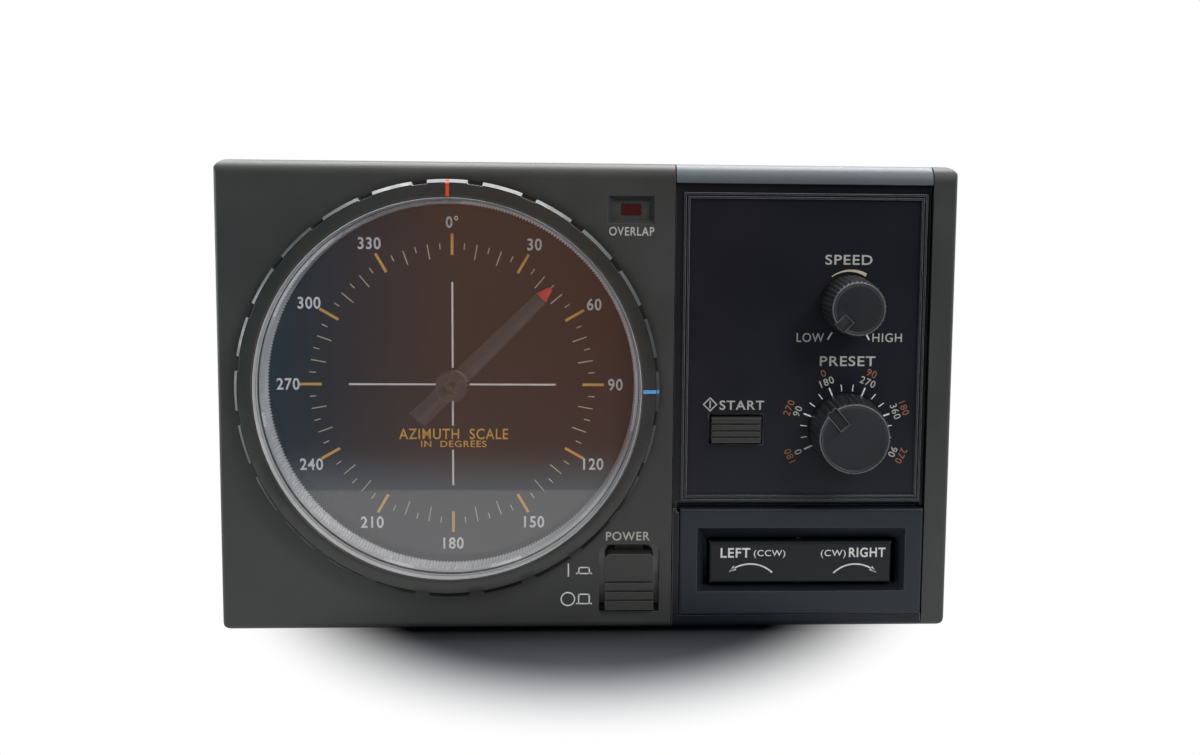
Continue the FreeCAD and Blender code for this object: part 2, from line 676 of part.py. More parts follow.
POWER_X = across("power_place")
POWER_SIDE = "(power_width / 2 + power_gap)"
LENS = (across("lens_place"), up("lens_rise"))
CONTROL_X = "(fascia_width / 2 - control_place)"
SPEED = (CONTROL_X, up("speed_rise"))
PRESET = (CONTROL_X, up("preset_rise"))
START = (across("start_place"), up("start_rise"))
WINDOW_X = (f"{SEAM} + board_margin", f"{STRIP} - board_margin")
WINDOW_Z = (up("fascia_wall + board_margin"), f"{TOP} - cap_height - board_margin")


def spread(centre, width):
    return f"{centre} - ({width}) / 2", f"{centre} + ({width}) / 2"


def make_front_fascia(block):
    left_space = box(
        "FasciaLeftSpace",
        (f"fascia_wall - {HALF}", f"{SEAM} - panel_flange"),
        (front("fascia_wall"), f"{SKIRT} + cut_margin"),
        (up("fascia_wall"), f"{TOP} - fascia_wall"),
    )
    right_space = box(
        "FasciaRightSpace",
        (f"{SEAM} - panel_flange - cut_margin", f"{HALF} - fascia_wall"),
        (front("panel_depth + panel_flange"), f"{SKIRT} + cut_margin"),
        (up("fascia_wall"), f"{TOP} - fascia_wall"),
    )
    pocket = box(
        "FasciaPocket",
        (SEAM, STRIP),
        (f"{FRONT} - cut_margin", front("panel_depth")),
        past(BOTTOM, TOP),
    )
    window = box("FasciaWindow", WINDOW_X, (FRONT, SKIRT), WINDOW_Z)
    dial_hole = rod("FasciaDialHole", "y", DIAL, (f"{FRONT} - cut_margin", front("fascia_wall + cut_margin")),
                    "ring_neck + ring_slack")
    power_hole = rounded(
        "FasciaPowerHole",
        box(
            "FasciaPowerBox",
            (f"{POWER_X} - {POWER_SIDE}", f"{POWER_X} + {POWER_SIDE}"),
            (f"{FRONT} - cut_margin", front("fascia_wall + cut_margin")),
            (up("power_base - power_gap_base"), up("power_top + power_gap_top")),
        ),
        lambda middle, direction: number("power_round + power_gap / 2")
        if abs(direction.y) > 0.9 and middle.z > number(up("power_top"))
        else 0,
    )
    recess = funnel(
        "FasciaRecess",
        (FRONT, front("recess_depth")),
        spread(LENS[0], "recess_width"),
        spread(LENS[1], "recess_height"),
        spread(LENS[0], "recess_width - 2 * recess_slope"),
        spread(LENS[1], "recess_height - 2 * recess_slope"),
    )
    lens_hole = box(
        "FasciaLensHole",
        spread(LENS[0], "lens_width"),
        (FRONT, front("fascia_wall + cut_margin")),
        spread(LENS[1], "lens_height"),
    )
    shell = cut("FasciaShell", block, left_space, right_space, pocket, window, dial_hole, power_hole, recess,
                lens_hole)
    boss_y = (front("fascia_wall"), front("fascia_wall + boss_height"))
    bosses = [
        rod(f"FasciaBoss{index}", "y", at, boss_y, "boss_radius")
        for index, at in enumerate(boss_places())
    ]
    bossed = join("FasciaBossed", shell, *bosses)
    pilots = [
        rod(f"FasciaPilot{index}", "y", at, (front("fascia_wall / 2"), SKIRT), "screw_radius")
        for index, at in enumerate(boss_places())
    ]
    frame_pilots = [
        rod(f"FasciaFramePilot{index}", "y", at, (front("panel_depth"), SKIRT), "screw_radius")
        for index, at in enumerate(frame_screw_places())
    ]
    piece("front_fascia", cut("Fascia", bossed, *pilots, *frame_pilots))


def frame_outline(name, inset, width, y):
    """A rectangular frame on the control panel, inset from the border's outer edge."""
    x_low = f"{SEAM} + ridge_margin + {inset}"
    x_high = f"{STRIP} - ridge_margin / 2 - {inset}"
    z_low = up(f"bezel_top + ridge_margin * 0.7 + {inset}")
    z_high = f"{TOP} - cap_height - ridge_margin - {inset}"
    outer = box(name + "Outer", (x_low, x_high), y, (z_low, z_high))
    inner = box(
        name + "Inner",
        (f"{x_low} + {width}", f"{x_high} - {width}"),
        past(y[0], y[1]),
        (f"{z_low} + {width}", f"{z_high} - {width}"),
    )
    return cut(name, outer, inner)


BEZEL_X = (f"{SEAM} + bezel_left", f"{STRIP} - bezel_right")
BEZEL_Z = (up("bezel_base"), up("bezel_top"))


def make_control_panel(block):
    bounds = box(
        "PanelBounds",
        (f"{SEAM} + seam_gap", f"{STRIP} - seam_gap"),
        (f"{FRONT} - cut_margin", front("panel_depth")),
        (BOTTOM, TOP),
    )
    body = shared("PanelBody", block, bounds)
    face = box(
        "PanelFace",
        (SEAM, STRIP),
        (f"{FRONT} - cut_margin", PANEL_FACE),
        (up("bezel_top"), f"{TOP} - cap_height"),
    )
    groove = box(
        "PanelGroove",
        (f"{SEAM} + ridge_margin / 2", f"{STRIP} - seam_gap - ridge_margin / 4"),
        (f"{FRONT} - cut_margin", front("panel_recess + panel_wall / 2")),
        (up("bezel_top - cut_margin"), up("bezel_top + ridge_margin / 2")),
    )
    hollow = box(
        "PanelHollow",
        (f"{SEAM} + seam_gap + panel_wall", f"{STRIP} - seam_gap - panel_wall"),
        (PANEL_INNER, front("panel_depth + cut_margin")),
        (up("bezel_top + panel_wall"), f"{TOP} - cap_height"),
    )
    bezel_hole = box(
        "PanelBezelHole",
        (f"{BEZEL_X[0]} - fit_gap", STRIP),
        (f"{FRONT} - cut_margin", front("panel_depth + cut_margin")),
        (f"{BEZEL_Z[0]} - fit_gap", f"{BEZEL_Z[1]} + fit_gap"),
    )
    start_hole = box(
        "PanelStartHole",
        spread(START[0], "start_width + 2 * start_gap"),
        (FRONT, front("panel_depth")),
        spread(START[1], "start_height + 2 * start_gap"),
    )
    knob_holes = [
        rod(name, "y", at, (FRONT, front("panel_depth")), "thread_radius + running_gap")
        for name, at in (("PanelSpeedHole", SPEED), ("PanelPresetHole", PRESET))
    ]
    pilots = [
        rod(f"PanelPilot{index}", "y", at, (front("panel_depth / 2"), SKIRT), "screw_radius")
        for index, at in enumerate(frame_screw_places())
    ]
    plain = cut("PanelPlain", body, face, groove, hollow, bezel_hole, start_hole, *knob_holes, *pilots)
    ridge_y = (front("panel_recess - ridge_height"), PANEL_FACE)
    ridge = frame_outline("PanelRidge", "0", "ridge_width", ridge_y)
    channel = frame_outline(
        "PanelChannel",
        "(ridge_width - ridge_groove) / 2",
        "ridge_groove",
        (front("panel_recess - ridge_height - cut_margin"), front("panel_recess - ridge_height / 3")),
    )
    piece("control_panel", cut("Panel", join("PanelRidged", plain, ridge), channel))


MOUTH_X = (f"{BEZEL_X[0]} + mouth_side", f"{BEZEL_X[1]} - mouth_side")
MOUTH_Z = (f"{BEZEL_Z[0]} + mouth_base", f"{BEZEL_Z[1]} - mouth_top")
THROAT_X = (f"{MOUTH_X[0]} + mouth_slope", f"{MOUTH_X[1]} - mouth_slope")
THROAT_Z = (f"{MOUTH_Z[0]} + mouth_slope_base", f"{MOUTH_Z[1]} - mouth_slope_top")
ROCKER_MIDDLE = f"(({THROAT_X[0]}) + ({THROAT_X[1]})) / 2"
PIN_Z = (f"{THROAT_Z[0]} - pin_seat", f"{THROAT_Z[1]} + pin_seat")
PIN_AT = (ROCKER_MIDDLE, front("pin_place"))
ROCKER_X = (f"({THROAT_X[0]} + rocker_gap)", f"({THROAT_X[1]} - rocker_gap)")
ROCKER_POSTS_X = (f"({ROCKER_X[0]} + rocker_post_inset)", f"({ROCKER_X[1]} - rocker_post_inset)")


def make_switch_bezel():
    face = number(front("-bezel_stand"))
    solid = rounded(
        "BezelSolid",
        box("BezelBox", BEZEL_X, (front("-bezel_stand"), front("panel_depth")), BEZEL_Z),
        lambda middle, direction: number("bezel_round") if middle.y < face + 0.1 else 0,
    )
    mouth = funnel(
        "BezelMouth",
        (front("-bezel_stand"), front("mouth_depth - bezel_stand")),
        MOUTH_X,
        MOUTH_Z,
        THROAT_X,
        THROAT_Z,
    )
    throat = box("BezelThroat", THROAT_X, (FRONT, front("panel_depth + cut_margin")), THROAT_Z)
    pin_hole = rod("BezelPinHole", "z", PIN_AT, PIN_Z, "pin_radius")
    pilots = [
        rod(f"BezelPilot{index}", "y", at, (front("panel_depth / 2"), SKIRT), "screw_radius")
        for index, at in enumerate(frame_screw_places())
    ]
    piece("switch_bezel", cut("Bezel", solid, mouth, throat, pin_hole, *pilots))


def make_direction_rocker():
    face = number(front("rocker_set"))
    z = (f"{THROAT_Z[0]} + rocker_gap_high", f"{THROAT_Z[1]} - rocker_gap_high")
    bar = rounded(
        "RockerBar",
        box("RockerBox", ROCKER_X, (front("rocker_set"), front("rocker_back")), z),
        lambda middle, direction: number("bezel_round") if middle.y < face + 0.1 else 0,
    )
    middle_z = f"(({THROAT_Z[0]}) + ({THROAT_Z[1]})) / 2"
    posts = [
        rod(
            f"RockerPost{index}",
            "y",
            (post_x, middle_z),
            (front("rocker_back"), front("rocker_back + rocker_post_length")),
            "rocker_post_radius",
        )
        for index, post_x in enumerate(ROCKER_POSTS_X)
    ]
    bore = rod("RockerBore", "z", PIN_AT, PIN_Z, "pin_radius + running_gap")
    piece("direction_rocker", cut("Rocker", join("RockerSolid", bar, *posts), bore))
    piece("rocker_pin", rod("RockerPin", "z", PIN_AT, PIN_Z, "pin_radius"))


def make_direction_ring():
    body = new_body("Ring", DIAL_X, FRONT, DIAL_Z, TO_VIEWER)
    turned(
        body,
        [
            ("ring_rim", "housing_stand + ring_slack"),
            ("ring_rim", "ring_stand - ring_edge / 2"),
            ("ring_rim + ring_edge / 2", "ring_stand"),
            ("ring_radius - ring_edge", "ring_stand"),
            ("ring_radius", "ring_stand - ring_edge"),
            ("ring_radius", "ring_under"),
            ("ring_neck", "ring_under"),
            ("ring_neck", "-fascia_wall - ring_slack"),
            ("ring_neck + ring_lip", "-fascia_wall - ring_slack"),
            ("ring_neck", "-fascia_wall - ring_slack - ring_lip"),
            ("ring_neck - ring_neck_wall", "-fascia_wall - ring_slack - ring_lip"),
            ("ring_neck - ring_neck_wall", "housing_stand + ring_slack"),
        ],
    )
    half_notch = "ring_notch_width / 2"
    shift = "180 / ring_lobes"
    inner = "(ring_radius - ring_notch_depth)"
    outer = "(ring_radius + cut_margin)"
    corners = []
    for radius, side in ((inner, "-"), (outer, "-"), (outer, "+"), (inner, "+")):
        x = f"{radius} * sin({shift}) {side} {half_notch} * cos({shift})"
        y = f"{radius} * cos({shift}) {'+' if side == '-' else '-'} {half_notch} * sin({shift})"
        corners.append((x, y))
    notched(body, corners, "4 * ring_stand", "ring_lobes")
    piece("direction_ring", body)


def make_dial_plates():
    inner_radius = "housing_radius - housing_wall - plate_gap"
    window_back = front("window_wall - window_front")
    pane = rod("WindowPane", "y", DIAL, (front("-window_front"), window_back), inner_radius)
    boss_y = (window_back, front("window_wall - window_front + window_boss_height"))
    boss = rod("WindowBoss", "y", DIAL, boss_y, "window_boss")
    socket = rod("WindowSocket", "y", DIAL, (window_back, front("window_boss_height + cut_margin")),
                 "shaft_tip + running_gap")
    piece("dial_window", cut("Window", join("WindowSolid", pane, boss), socket))
    plate_y = (front("scale_depth"), front("scale_depth + scale_wall"))
    plate = rod("ScaleDisc", "y", DIAL, plate_y, inner_radius)
    hole = rod("ScaleHole", "y", DIAL, past(*plate_y), "scale_hole")
    piece("scale_plate", cut("Scale", plate, hole))


def make_serrated_ring():
    outer = number("housing_radius - housing_wall - plate_gap")
    root = number("housing_radius - housing_wall - plate_gap - serrated_wall + ring_tooth_depth")
    crest = root - number("ring_tooth_depth")
    teeth = count("ring_tooth_count")
    start = number("window_wall - window_front")
    length = number("scale_depth - window_wall + window_front")
    points = []
    for step in range(2 * teeth):
        radius = crest if step % 2 else root
        angle = math.pi * step / teeth
        points.append(Vector(radius * math.sin(angle), start, radius * math.cos(angle)))
    inside = Part.Face(Part.makePolygon(points + points[:1]))
    disc = Part.Face(Part.Wire(Part.makeCircle(outer, Vector(0, start, 0), Vector(0, 1, 0))))
    ring = doc.addObject("Part::Feature", "SerratedRing")
    ring.Shape = disc.cut(inside).extrude(Vector(0, length, 0))
    place(ring, DIAL_X, FRONT, DIAL_Z)
    piece("serrated_ring", ring)


def make_dial_housing():
    tube_y = (front("-housing_stand"), front("housing_depth"))
    outside = rod("HousingTube", "y", DIAL, tube_y, "housing_radius")
    flange_y = (front("fascia_wall + boss_height"), front("fascia_wall + boss_height + flange_wall"))
    round_flange = rod("HousingRoundFlange", "y", DIAL, flange_y, "flange_radius")
    flange_room = box(
        "HousingFlangeRoom",
        (f"fascia_wall + fit_gap - {HALF}", f"{SEAM} - panel_flange - fit_gap"),
        flange_y,
        (up("fascia_wall + fit_gap"), f"{TOP} - fascia_wall - fit_gap"),
    )
    flange = shared("HousingFlange", round_flange, flange_room)
    pillars = [
        rod(f"HousingPillar{index}", "y", at, (front("housing_depth"), GEAR_PLATE), "pillar_radius")
        for index, at in enumerate(pillar_places())
    ]
    solid = join("HousingSolid", outside, flange, *pillars)
    seat = front("scale_depth + scale_wall")
    mouth_y = (front("-housing_stand - cut_margin"), seat)
    mouth = rod("HousingMouth", "y", DIAL, mouth_y, "housing_radius - housing_wall")
    chamber = rod("HousingChamber", "y", DIAL, (FRONT, front("housing_depth - housing_floor")),
                  "housing_radius - housing_ledge")
    bush_hole = rod("HousingBushHole", "y", DIAL, (seat, GEAR_PLATE), "bush_radius")
    screw_holes = [
        rod(f"HousingScrewHole{index}", "y", at, (front("fascia_wall"), SKIRT), "screw_radius + running_gap")
        for index, at in enumerate(boss_places())
    ]
    pillar_hole_y = (front("housing_depth"), front("housing_depth + gear_space + cut_margin"))
    pillar_holes = [
        rod(f"HousingPillarHole{index}", "y", at, pillar_hole_y, "screw_radius")
        for index, at in enumerate(pillar_places())
    ]
    piece("dial_housing", cut("Housing", solid, mouth, chamber, bush_hole, *screw_holes, *pillar_holes))


def blade_section(distance, width, edge, ridge):
    """A five-sided cross-section of the pointer, flat behind and ridged in front."""
    points = [
        Vector(-width / 2, edge, distance),
        Vector(-width / 2, 0, distance),
        Vector(0, -ridge, distance),
        Vector(width / 2, 0, distance),
        Vector(width / 2, edge, distance),
    ]
    return Part.makePolygon(points + points[:1])


def make_pointer():
    root = number("blade_root")
    end = number("blade_end")
    edge = number("blade_wall")
    ridge = number("blade_ridge")
    length = number("blade_length")
    shoulder = length - number("blade_tip")
    tail = number("tail_length")
    hub_start = number("hub_front")
    hub_height = number("hub_height")
    taper = (root - end) / shoulder
    at_tail = blade_section(-tail, root - taper * tail, edge, ridge)
    at_hub = blade_section(0, root, edge, ridge)
    at_shoulder = blade_section(shoulder, end, edge, ridge)
    at_tip = blade_section(length, end / 3, edge, ridge / 3)
    lofts = [
        Part.makeLoft(list(ends), True, True)
        for ends in ((at_tail, at_hub), (at_hub, at_shoulder), (at_shoulder, at_tip))
    ]
    middle = Vector(0, -hub_height / 2, 0)
    backward = Vector(0, 1, 0)
    hub = Part.makeCylinder(number("hub_radius"), hub_height, middle, backward)
    solid = hub.fuse(lofts).removeSplitter()
    bore = Part.makeCylinder(number("shaft_radius"), 2 * hub_height, 2 * middle, backward)
    pointer = doc.addObject("Part::Feature", "Pointer")
    pointer.Shape = solid.cut(bore)
    pointer.Placement = Placement(
        Vector(number(DIAL_X), number(FRONT) + hub_start + hub_height / 2, number(DIAL_Z)),
        Rotation(Vector(0, 1, 0), number("pointer_rest")),
    )
    piece("pointer", pointer)
    shaft_y = (front("hub_front"), front("housing_depth + gear_space + gear_plate_wall + bush_flange_wall"))
    shaft = rod("PointerShaftBody", "y", DIAL, shaft_y, "shaft_radius")
    tip_y = (front("window_wall - window_front + running_gap"), front("hub_front"))
    thin_end = rod("PointerShaftTip", "y", DIAL, tip_y, "shaft_tip")
    piece("pointer_shaft", join("PointerShaft", shaft, thin_end))


def gear_shape(teeth, width):
    """An involute spur gear round the Y axis, a tooth at +Z, starting at Y zero."""
    pressure = math.radians(number("gear_pressure"))
    pitch = number("gear_module") * teeth / 2
    base = pitch * math.cos(pressure)
    crest = pitch + number("gear_crest")
    root = pitch - number("gear_root")
    involute_at_pitch = math.tan(pressure) - pressure
    half_tooth = math.pi / (2 * teeth) - number("gear_backlash") / (2 * pitch)
    steps = 5
    start = max(base, root)
    flank = []
    for step in range(steps + 1):
        radius = start + (crest - start) * step / steps
        roll = math.acos(min(1, base / radius))
        flank.append((radius, half_tooth + involute_at_pitch - (math.tan(roll) - roll)))
    if root < base:
        flank.insert(0, (root, flank[0][1]))
    points = []
    for tooth in range(teeth):
        middle = 2 * math.pi * tooth / teeth
        points += [(radius, middle - half) for radius, half in flank]
        points += [(radius, middle + half) for radius, half in reversed(flank)]
    corners = [Vector(radius * math.sin(angle), 0, radius * math.cos(angle)) for radius, angle in points]
    return Part.Face(Part.makePolygon(corners + corners[:1])).extrude(Vector(0, width, 0))


def axle(radius, length, x=0, z=0):
    """A round bar along the Y axis, starting at Y zero."""
    return Part.makeCylinder(number(radius), number(length), Vector(x, 0, z), Vector(0, 1, 0))


def turned_feature(name, shape, x, y, z, angle):
    feature = doc.addObject("Part::Feature", name)
    feature.Shape = shape
    feature.Placement = Placement(Vector(), Rotation(Vector(0, 1, 0), angle))
    return place(feature, x, y, z)


PINION_DROP = "(gear_module * (pointer_teeth + pinion_teeth) / 2)"
SENSOR_LIFT = "(gear_module * (pointer_teeth + pot_teeth) / 2)"
MOTOR = (DIAL_X, f"({DIAL_Z} - {PINION_DROP})")
SENSOR = (DIAL_X, f"({DIAL_Z} + {SENSOR_LIFT})")


def mesh_angle(teeth, facing):
    """The turn at which a gear's gap, on the side facing the pointer gear, holds the tooth there."""
    met_share = (facing + 180) * count("pointer_teeth") / 360 % 1
    return facing + (met_share - 0.5) * 360 / teeth


def make_indicator_gears():
    gear = gear_shape(count("pointer_teeth"), number("gear_wall")).cut(axle("shaft_radius", "gear_wall"))
    piece("pointer_gear", turned_feature("PointerGear", gear, DIAL_X, front("gear_front"), DIAL_Z, 0))

    teeth = count("pinion_teeth")
    shaft = axle("motor_shaft", "housing_depth + gear_space + gear_plate_wall + motor_nose - gear_front")
    pinion = gear_shape(teeth, number("pinion_wall")).fuse(shaft)
    start = front("(gear_front - gear_stagger)")
    turn = mesh_angle(teeth, 0)
    piece("motor_pinion", turned_feature("MotorPinion", pinion, MOTOR[0], start, MOTOR[1], turn))

    teeth = count("pot_teeth")
    sensor_end = "(housing_depth + gear_space + gear_plate_wall + sensor_hold)"
    shaft = axle("sensor_shaft", f"{sensor_end} - gear_front - gear_stagger")
    circle = number("web_hole_circle")
    holes = []
    for step in range(count("web_hole_count")):
        angle = 2 * math.pi * step / count("web_hole_count")
        x = circle * math.sin(angle)
        z = circle * math.cos(angle)
        holes.append(axle("web_hole_radius", "pot_gear_wall", x, z))
    gear = gear_shape(teeth, number("pot_gear_wall")).cut(holes).fuse(shaft)
    start = front("(gear_front + gear_stagger)")
    turn = mesh_angle(teeth, 180)
    piece("pot_gear", turned_feature("SensorGear", gear, SENSOR[0], start, SENSOR[1], turn))


def make_gear_plate():
    plate = box(
        "GearPlateSheet",
        (f"{DIAL_X} - gear_plate_half", f"{DIAL_X} + gear_plate_half"),
        (GEAR_PLATE, MOTOR_FACE),
        (f"{DIAL_Z} - gear_plate_half", f"{DIAL_Z} + gear_plate_up"),
    )
    depth = past(GEAR_PLATE, MOTOR_FACE)
    holes = [
        rod("GearPlateBushHole", "y", DIAL, depth, "bush_radius"),
        rod("GearPlateMotorHole", "y", MOTOR, depth, "motor_nose"),
        rod("GearPlateSensorHole", "y", SENSOR, depth, "thread_radius"),
    ]
    holes += [
        rod(f"GearPlateScrewHole{index}", "y", at, depth, "screw_radius + running_gap")
        for index, at in enumerate(pillar_places())
    ]
    piece("gear_plate", cut("GearPlate", plate, *holes))
    floor_y = (front("housing_depth - housing_floor - bush_flange_wall"), front("housing_depth"))
    plate_y = (GEAR_PLATE, f"{MOTOR_FACE} + bush_flange_wall")
    bushes = []
    for name, span, flange in (
        ("FloorBush", floor_y, (floor_y[0], f"{floor_y[0]} + bush_flange_wall")),
        ("PlateBush", plate_y, (MOTOR_FACE, plate_y[1])),
    ):
        sleeve = rod(name + "Sleeve", "y", DIAL, span, "bush_radius")
        collar = rod(name + "Collar", "y", DIAL, flange, "bush_flange")
        bore_y = past(span[0], span[1])
        bore = rod(name + "Bore", "y", DIAL, bore_y, "shaft_radius + running_gap")
        bushes.append(cut(name, join(name + "Solid", sleeve, collar), bore))
    piece("shaft_bushes", group("Bushes", bushes))


def make_motor_and_sensor():
    motor_end = f"({MOTOR_FACE} + motor_length)"
    body = rod("MotorBody", "y", MOTOR, (MOTOR_FACE, motor_end), "motor_radius")
    nose = rod("MotorNose", "y", MOTOR, (GEAR_PLATE, MOTOR_FACE), "motor_nose")
    cap = rod("MotorCap", "y", MOTOR, (motor_end, f"{motor_end} + motor_cap"), "motor_nose")
    bore_y = past(GEAR_PLATE, f"{MOTOR_FACE} + motor_nose")
    bore = rod("MotorBore", "y", MOTOR, bore_y, "motor_shaft + running_gap")
    piece("indicator_motor", cut("Motor", join("MotorSolid", body, nose, cap), bore))
    case = rod("SensorCase", "y", SENSOR, (MOTOR_FACE, f"{MOTOR_FACE} + sensor_length"), "sensor_radius")
    neck = rod("SensorNeck", "y", SENSOR, (GEAR_PLATE, MOTOR_FACE), "thread_radius")
    bore_y = past(GEAR_PLATE, f"{MOTOR_FACE} + sensor_hold")
    sensor_bore = rod("SensorBore", "y", SENSOR, bore_y, "sensor_shaft + running_gap")
    lugs = box(
        "SensorLugs",
        spread(SENSOR[0], "sensor_radius"),
        (f"{MOTOR_FACE} + lug_width", f"{MOTOR_FACE} + lug_width + lug_wall"),
        (SENSOR[1], f"{SENSOR[1]} + sensor_radius + lug_length"),
    )
    piece("feedback_pot", cut("Sensor", join("SensorSolid", case, neck, lugs), sensor_bore))


def make_dial_lamps():
    floor = front("housing_depth - housing_floor")
    lamps = []
    for side in (-1, 1):
        at = (f"{DIAL_X} + {side} * lamp_place", DIAL_Z)
        top = f"{floor} - lamp_height"
        base = rod(f"LampBase{side}", "y", at, (top, floor), "lamp_base")
        glass = rod(f"LampGlass{side}", "y", at, (f"{top} - lamp_glass", top), "lamp_radius")
        dome = doc.addObject("Part::Sphere", f"LampDome{side}")
        dome.setExpression("Radius", on_sheet("lamp_radius"))
        place(dome, at[0], f"{top} - lamp_glass", at[1])
        lamps.append(join(f"Lamp{side}", base, glass, dome))
    piece("dial_lamps", group("Lamps", lamps))


def make_overlap_indicator():
    back = "fascia_wall + lens_flange"
    pane = box(
        "LensPane",
        spread(LENS[0], "lens_width - 2 * running_gap"),
        (front("lens_set"), front("fascia_wall")),
        spread(LENS[1], "lens_height - 2 * running_gap"),
    )
    flange = box(
        "LensFlange",
        spread(LENS[0], "lens_width + 2 * lens_flange"),
        (front("fascia_wall"), front(back)),
        spread(LENS[1], "lens_height + 2 * lens_flange"),
    )
    piece("overlap_window", join("Lens", pane, flange))
    stem = rod("LedStem", "y", LENS, (front(back), front(f"({back} + led_length)")), "led_radius")
    rim_y = (front(f"({back} + led_length)"), front(f"({back} + led_length + led_rim_height)"))
    rim = rod("LedRim", "y", LENS, rim_y, "led_radius + led_rim")
    piece("overlap_lamp", join("Led", stem, rim))


def make_knob(name, at, radius, reach, index_length, index_angle):
    """A fluted knob with an index groove; its local Z points at the viewer."""
    body = new_body(name, at[0], PANEL_FACE, at[1], TO_VIEWER)
    height = f"(panel_recess + {reach})"
    turned(
        body,
        [
            ("spindle_radius", "knob_lift + nut_space_height"),
            ("spindle_radius", f"{height} - knob_face_wall"),
            ("0", f"{height} - knob_face_wall"),
            ("0", f"{height} - knob_dish"),
            (f"{radius} - 3 * knob_edge", f"{height} - knob_dish"),
            (f"{radius} - 2 * knob_edge", height),
            (f"{radius} - knob_edge", height),
            (radius, f"{height} - knob_edge"),
            (f"{radius} + knob_flare", "knob_lift"),
            ("nut_space", "knob_lift"),
            ("nut_space", "knob_lift + nut_space_height"),
        ],
    )
    notched(
        body,
        [
            ("-flute_width / 2", f"{radius} + knob_flare + cut_margin"),
            ("-flute_width / 2", f"{radius} - flute_depth"),
            ("flute_width / 2", f"{radius} - flute_depth"),
            ("flute_width / 2", f"{radius} + knob_flare + cut_margin"),
        ],
        f"2 * ({height} - 3 * knob_edge)",
        "knob_flutes",
    )
    groove = sketch_on(body, "XY_Plane", name + "Index")
    groove.AttachmentOffset = Placement(Vector(0, 0, number(height)), Rotation())
    groove.setExpression("AttachmentOffset.Base.z", on_sheet(height))
    corners = []
    for reach_out, side in (
        (f"({radius} - {index_length})", "-"),
        (f"({radius} + cut_margin)", "-"),
        (f"({radius} + cut_margin)", "+"),
        (f"({radius} - {index_length})", "+"),
    ):
        other = "+" if side == "-" else "-"
        corners.append((
            f"{reach_out} * sin({index_angle}) {side} index_width / 2 * cos({index_angle})",
            f"{reach_out} * cos({index_angle}) {other} index_width / 2 * sin({index_angle})",
        ))
    outline(groove, corners)
    pocket = body.newObject("PartDesign::Pocket", name + "IndexPocket")
    pocket.Profile = groove
    pocket.Length = number("knob_dish + index_depth")
    pocket.setExpression("Length", on_sheet("knob_dish + index_depth"))
    body.Tip = pocket
    doc.recompute()
    return body


KNOBS = (
    ("speed", "Speed", SPEED, "speed_radius", "front_reach", "speed_index", "speed_rest"),
    ("preset", "Preset", PRESET, "preset_radius", "preset_reach", "preset_index", "preset_rest"),
)


def make_knobs_and_pots():
    nuts = []
    for label, name, at, radius, reach, index_length, index_angle in KNOBS:
        knob = make_knob(name + "Knob", at, radius, reach, index_length, index_angle)
        piece(f"{label}_knob", knob)
        spindle_y = (front(f"(knob_face_wall - {reach})"), front("board_place - board_wall"))
        piece(f"{label}_shaft", rod(name + "Spindle", "y", at, spindle_y, "spindle_radius"))
        case = rod(name + "PotCase", "y", at, (PANEL_INNER, front("board_place")), "knob_pot_radius")
        thread_end = f"{PANEL_INNER} - thread_length"
        thread = rod(name + "PotThread", "y", at, (thread_end, PANEL_INNER), "thread_radius")
        bore_y = (f"{thread_end} - cut_margin", spindle_y[1])
        bore = rod(name + "PotBore", "y", at, bore_y, "spindle_radius + running_gap")
        piece(f"{label}_pot", cut(name + "Pot", join(name + "PotSolid", case, thread), bore))
        prism = doc.addObject("Part::Prism", name + "NutPrism")
        prism.Polygon = 6
        prism.setExpression("Circumradius", on_sheet("nut_size"))
        prism.setExpression("Height", on_sheet("nut_wall"))
        prism.Placement = Placement(Vector(), FACING["y"])
        place(prism, at[0], f"{PANEL_FACE} - nut_wall", at[1])
        nut_y = (f"{PANEL_FACE} - nut_wall - cut_margin", PANEL_INNER)
        nut_hole = rod(name + "NutHole", "y", at, nut_y, "thread_radius")
        nuts.append(cut(name + "Nut", prism, nut_hole))
    piece("pot_nuts", group("PotNuts", nuts))


SWITCH_TIP = front("(board_place - switch_height - switch_reach)")


def make_front_board():
    board = box(
        "FrontBoard",
        (f"{WINDOW_X[0]} + board_inset", f"{WINDOW_X[1]} - board_inset"),
        (front("board_place"), front("board_place + board_wall")),
        WINDOW_Z,
    )
    piece("front_board", board)
    rocker_z = f"(({THROAT_Z[0]}) + ({THROAT_Z[1]})) / 2"
    places = [START]
    places += [(post_x, rocker_z) for post_x in ROCKER_POSTS_X]
    switches = []
    for index, at in enumerate(places):
        base = box(
            f"SwitchBase{index}",
            spread(at[0], "switch_width"),
            (front("board_place - switch_height"), front("board_place")),
            spread(f"({at[1]})", "switch_width"),
        )
        tip_y = (SWITCH_TIP, front("board_place - switch_height"))
        tip = rod(f"SwitchTip{index}", "y", at, tip_y, "switch_tip")
        switches.append(join(f"Switch{index}", base, tip))
    piece("panel_switches", group("PanelSwitches", switches))


def across_grooves(name, at, width, top_place, pitch, copies, face):
    """Level grooves across a button's face, from the top one down."""
    return [
        box(
            f"{name}Groove{index}",
            spread(at, f"{width} + 2 * cut_margin"),
            (f"{face} - cut_margin", f"{face} + rib_depth"),
            spread(f"({top_place} - {index} * {pitch})", "rib_width"),
        )
        for index in range(copies)
    ]


